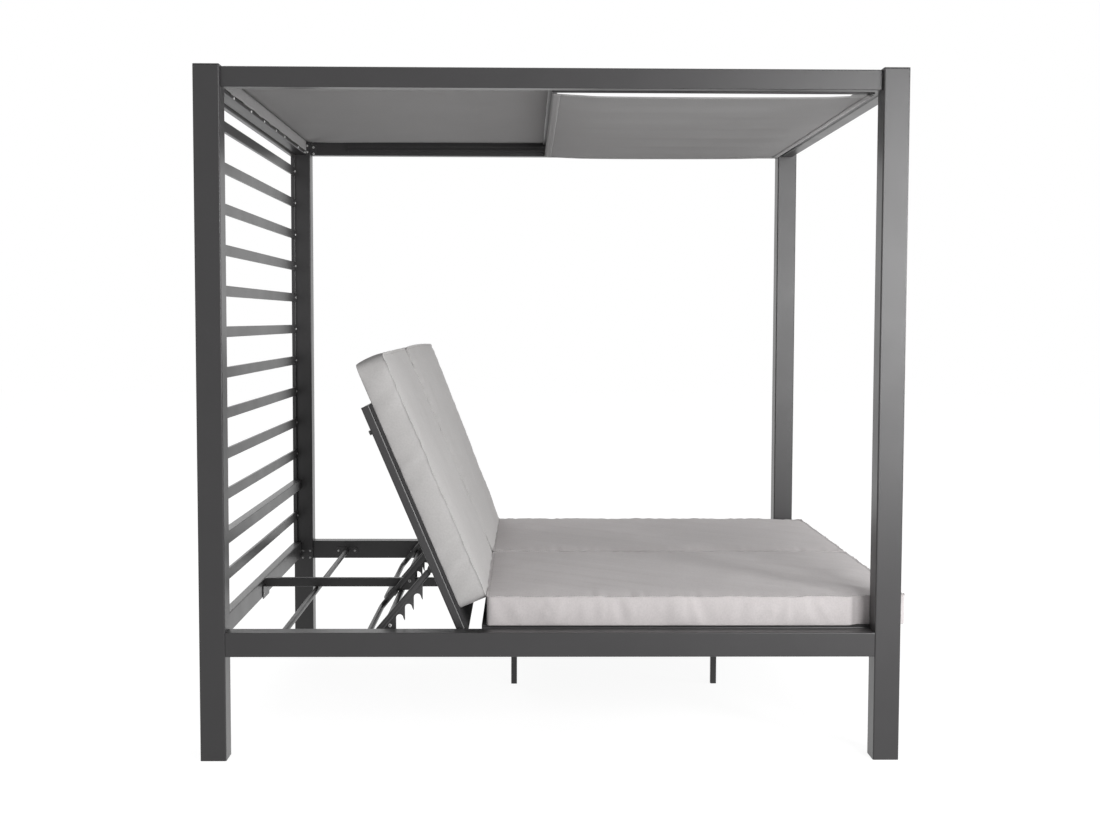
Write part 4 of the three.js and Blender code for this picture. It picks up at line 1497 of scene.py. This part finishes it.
@dataclass
class Frame:
    """The painted metalwork, dressed in its coats, with its brackets and screws."""

    centre: float = -0.0175
    post_face: float = 0.831
    beam_face: float = 0.8452
    head_beam_face: float = -0.9405
    plate: float = 0.002
    stile_face: float = -0.985
    stile_y: float = 0.8227
    slat_pitch: float = 0.124
    top_slat: float = 1.8405
    slat_count: int = 12
    flange_face: float = 0.8417
    flange_screw: float = 0.033
    cross_tube: Point = (-0.792, 0.0, 0.3302)
    hook_bar: Point = (-0.499, 0.0, 0.3265)
    land: Point = (-0.48658, 0.0, 0.368)
    arms: tuple[float, float] = (0.055, 0.79)
    arm_half: float = 0.002
    screw_radius: float = 0.0044
    bolt_radius: float = 0.0055
    post_screws: tuple[tuple[float, float], tuple[float, float]] = ((-0.9655, -0.937), (0.332, 0.304))
    beam_screw: Point = (-0.9667, 0.044, 0.3245)
    head_screw_level: float = 1.9125
    head_screws: tuple[float, ...] = (-0.62, -0.34, -0.108, 0.125, 0.306, 0.62, 0.79)
    bracket_base: float = 1.9065
    bracket_tops: tuple[float, float] = (1.9515, 1.9475)
    bracket_reaches: tuple[float, ...] = (0.9475, 0.9275, 0.9255, 0.9035)
    bracket_edge: float = 0.0004
    post_ear_screw: tuple[float, float, float] = (0.9375, 1.942, 1.917)
    beam_ear_screw: tuple[float, float, float] = (0.9145, 1.937, 1.912)

    def dress(self, palette: Palette) -> None:
        """Puts the right coat on every node that keeps its own shape.

        Args:
            palette: The finishes.
        """
        coats = {
            "powder_coat": palette.frame_coat,
            "rod_coat": palette.rod_coat,
            "deck_panel": palette.panel,
            "cap_plastic": palette.cap,
            "cushion_cloth": palette.seat_cloth,
            "canopy_cloth": palette.canopy_cloth,
        }
        slots = {part["node"]: part["material_slot"] for part in frame["record"]["subparts"]}
        for name, node in frame["nodes"].items():
            wear(node, coats[slots[name]])
        log.info("%d nodes dressed", len(frame["nodes"]))

    def add_plates(self, name: str, boxes: list[tuple[Point, Point]], palette: Palette) -> None:
        """Makes one bracket from thin plates with softened edges.

        Args:
            name: The bracket's name.
            boxes: Two opposite corners of each plate.
            palette: The finishes.
        """
        work = bmesh.new()
        for low, high in boxes:
            size = [abs(b - a) for a, b in zip(low, high)]
            middle = [(a + b) / 2 for a, b in zip(low, high)]
            made = bmesh.ops.create_cube(work, size=1.0)["verts"]
            bmesh.ops.scale(work, vec=size, verts=made)
            bmesh.ops.translate(work, vec=middle, verts=made)
        bmesh.ops.bevel(work, geom=list(work.edges), offset=self.bracket_edge, segments=1, affect="EDGES")
        mesh = bpy.data.meshes.new(name)
        work.to_mesh(mesh)
        work.free()
        obj = put(name, mesh)
        wear(obj, palette.rod_coat)
        board(obj, "frame")

    def add_brackets(self, palette: Palette) -> list[tuple[Point, Point]]:
        """Makes the brackets in the top corners.

        Args:
            palette: The finishes.

        Returns:
            The places and directions of their screws.
        """
        screws: list[tuple[Point, Point]] = []
        base, (post_top, beam_top) = self.bracket_base, self.bracket_tops
        for side in Side:
            way = (0.0, -float(side.value), 0.0)
            post, beam = self.post_face * side.value, self.beam_face * side.value
            skin = (self.post_face - self.plate) * side.value
            cover = (self.beam_face - self.plate) * side.value
            for word, sign in (("head", -1), ("foot", 1)):
                x0, x1, x2, x3 = (self.centre + sign * reach for reach in self.bracket_reaches)
                boxes = [((x0, post, base), (x1, skin, post_top))]
                ears = [(self.post_ear_screw, skin)]
                if word == "head":
                    boxes.append(((x2, beam, base), (x3, cover, beam_top)))
                    boxes.append(((x1, skin, base), (x2, beam, beam_top)))
                    ears.append((self.beam_ear_screw, cover))
                for (reach, *levels), face in ears:
                    screws += [((self.centre + sign * reach, face, z), way) for z in levels]
                self.add_plates(f"corner_bracket_{word}_{side.word}", boxes, palette)
        return screws

    def frame_screws(self) -> list[tuple[Point, Point]]:
        """Lists the screws in the frame itself.

        Returns:
            Each screw's place and direction.
        """
        forward = (1.0, 0.0, 0.0)
        found: list[tuple[Point, Point]] = []
        for side in Side:
            inward = (0.0, -float(side.value), 0.0)
            for x in self.post_screws[0]:
                for z in self.post_screws[1]:
                    found.append(((self.centre + x, side.value * self.post_face, z), inward))
            for index in range(self.slat_count):
                z = self.top_slat - self.slat_pitch * index
                found.append(((self.centre + self.stile_face, side.value * self.stile_y, z), forward))
            for tube in (self.cross_tube, self.hook_bar):
                for sign in (-1, 1):
                    x = self.centre + tube[0] + sign * self.flange_screw
                    found.append(((x, side.value * self.flange_face, tube[2]), inward))
            x, y, z = self.beam_screw
            found.append(((self.centre + x, side.value * y, z), forward))
        for y in self.head_screws:
            found.append(((self.centre + self.head_beam_face, y, self.head_screw_level), forward))
        return found

    def build(self, palette: Palette) -> None:
        """Dresses the frame and adds its small fittings.

        Args:
            palette: The finishes.
        """
        self.dress(palette)
        screws = Screws(palette)
        places = self.frame_screws() + self.add_brackets(palette)
        screws.build("frame_screws", "frame", places, self.screw_radius)
        for side in Side:
            places = []
            for arm in self.arms:
                for sign in (-1.0, 1.0):
                    y = side.value * arm + sign * self.arm_half
                    places.append(((self.land[0], y, self.land[2]), (0.0, sign, 0.0)))
            name, body = f"hook_plate_bolts_{side.word}", f"prop_arm_{side.word}"
            screws.build(name, body, places, self.bolt_radius)


@dataclass(frozen=True)
class Lamp:
    """A soft lamp: its place, the point that it faces, its width and height in metres, and its watts."""

    name: str
    place: Point
    toward: Point
    width: float
    height: float
    power: float

    def hang(self) -> None:
        """Hangs the lamp."""
        data = bpy.data.lights.new(self.name, "AREA")
        data.shape = "RECTANGLE"
        data.size, data.size_y = self.width, self.height
        data.energy = self.power
        lamp = put(self.name, data)
        lamp.location = self.place
        way = Vector(self.toward) - Vector(self.place)
        lamp.rotation_euler = way.to_track_quat("-Z", "Y").to_euler()


LAMPS = (
    Lamp("key lamp", (2.9, -3.6, 1.62), (0.3, 0.0, 0.9), 0.7, 0.7, 54.0),
    Lamp("post lamp", (1.85, -4.2, 1.55), (0.9, 0.0, 1.2), 0.95, 2.1, 82.0),
    Lamp("top lamp", (0.0, 0.3, 4.9), (0.0, 0.0, 1.9), 3.4, 3.4, 55.0),
    Lamp("far lamp", (-2.6, 4.8, 4.4), (0.0, 0.0, 0.9), 1.8, 1.8, 45.0),
    Lamp("foot lamp", (5.8, -1.8, 1.5), (-0.2, 0.0, 0.9), 2.0, 2.0, 92.0),
)


@dataclass
class Studio:
    """The floor, the soft lamps, the plain world and the camera."""

    floor_size: float = 40.0
    camera_place: Point = (-0.0925, -5.0637, 1.2612)
    pitch: float = math.radians(-3.589)
    yaw: float = math.radians(0.962)
    roll: float = math.radians(0.167)
    focal_pixels: float = 1476.8
    sensor: float = 36.0
    reach: float = 100.0
    floor_grey: float = 0.62
    floor_glow: float = 1.52
    floor_share: float = 0.6
    world_level: float = 0.36

    def floor(self) -> None:
        """Lays the pale floor, which shows white apart from the object's faint shadow."""
        half = self.floor_size / 2
        corners = [(-half, -half, 0), (half, -half, 0), (half, half, 0), (-half, half, 0)]
        plane = mesh_object("floor", corners, [(0, 1, 2, 3)])
        net = NodeNet("floor white")
        paint = net.add("ShaderNodeBsdfDiffuse", in_Color=(*[self.floor_grey] * 3, 1.0))
        glow = net.add("ShaderNodeEmission", in_Color=(1.0, 1.0, 1.0, 1.0), in_Strength=self.floor_glow)
        mix = net.add("ShaderNodeMixShader")
        net.link(net.shown(0.0, self.floor_share), mix.inputs[0])
        net.link(paint.outputs["BSDF"], mix.inputs[1])
        net.link(glow.outputs["Emission"], mix.inputs[2])
        wear(plane, net.close(mix.outputs["Shader"]))

    def world(self) -> None:
        """Makes a plain pale world that cameras, mirrors and glass see as white."""
        world = bpy.data.worlds.new("pale room")
        world.use_nodes = True
        net = Net(world.node_tree)
        net.tree.nodes.clear()
        back = net.add("ShaderNodeBackground", in_Color=(1.0, 1.0, 1.0, 1.0))
        net.link(net.shown(self.world_level, 1.0), back.inputs["Strength"])
        net.link(back.outputs["Background"], net.add("ShaderNodeOutputWorld").inputs["Surface"])
        bpy.context.scene.world = world

    def camera(self) -> None:
        """Sets the camera at the photograph's place and angle."""
        forward = Vector((
            math.sin(self.yaw) * math.cos(self.pitch),
            math.cos(self.yaw) * math.cos(self.pitch),
            math.sin(self.pitch),
        ))
        level = Vector((math.cos(self.yaw), -math.sin(self.yaw), 0.0))
        upright = level.cross(forward)
        right = level * math.cos(self.roll) + upright * math.sin(self.roll)
        up = upright * math.cos(self.roll) - level * math.sin(self.roll)
        data = bpy.data.cameras.new("camera")
        data.sensor_width = self.sensor
        data.lens = self.focal_pixels * self.sensor / PHOTO_WIDTH
        data.clip_end = self.reach
        camera = put("camera", data)
        turn = Matrix((right, up, -forward)).transposed().to_4x4()
        camera.matrix_world = Matrix.Translation(self.camera_place) @ turn
        bpy.context.scene.camera = camera

    def build(self) -> None:
        """Makes the whole studio."""
        bpy.context.scene.view_settings.view_transform = "Standard"
        self.world()
        self.floor()
        for lamp in LAMPS:
            lamp.hang()
        self.camera()
        log.info("studio")


def main() -> None:
    """Builds the studio and every sub-assembly in order."""
    logging.basicConfig(level=logging.INFO, format="%(name)s: %(message)s")
    Studio().build()
    palette = Palette()
    Frame().build(palette)
    stitches = Stitches(palette)
    Cushions().build(palette, stitches)
    Canopy().build(palette, stitches)


if __name__ == "__main__":
    main()
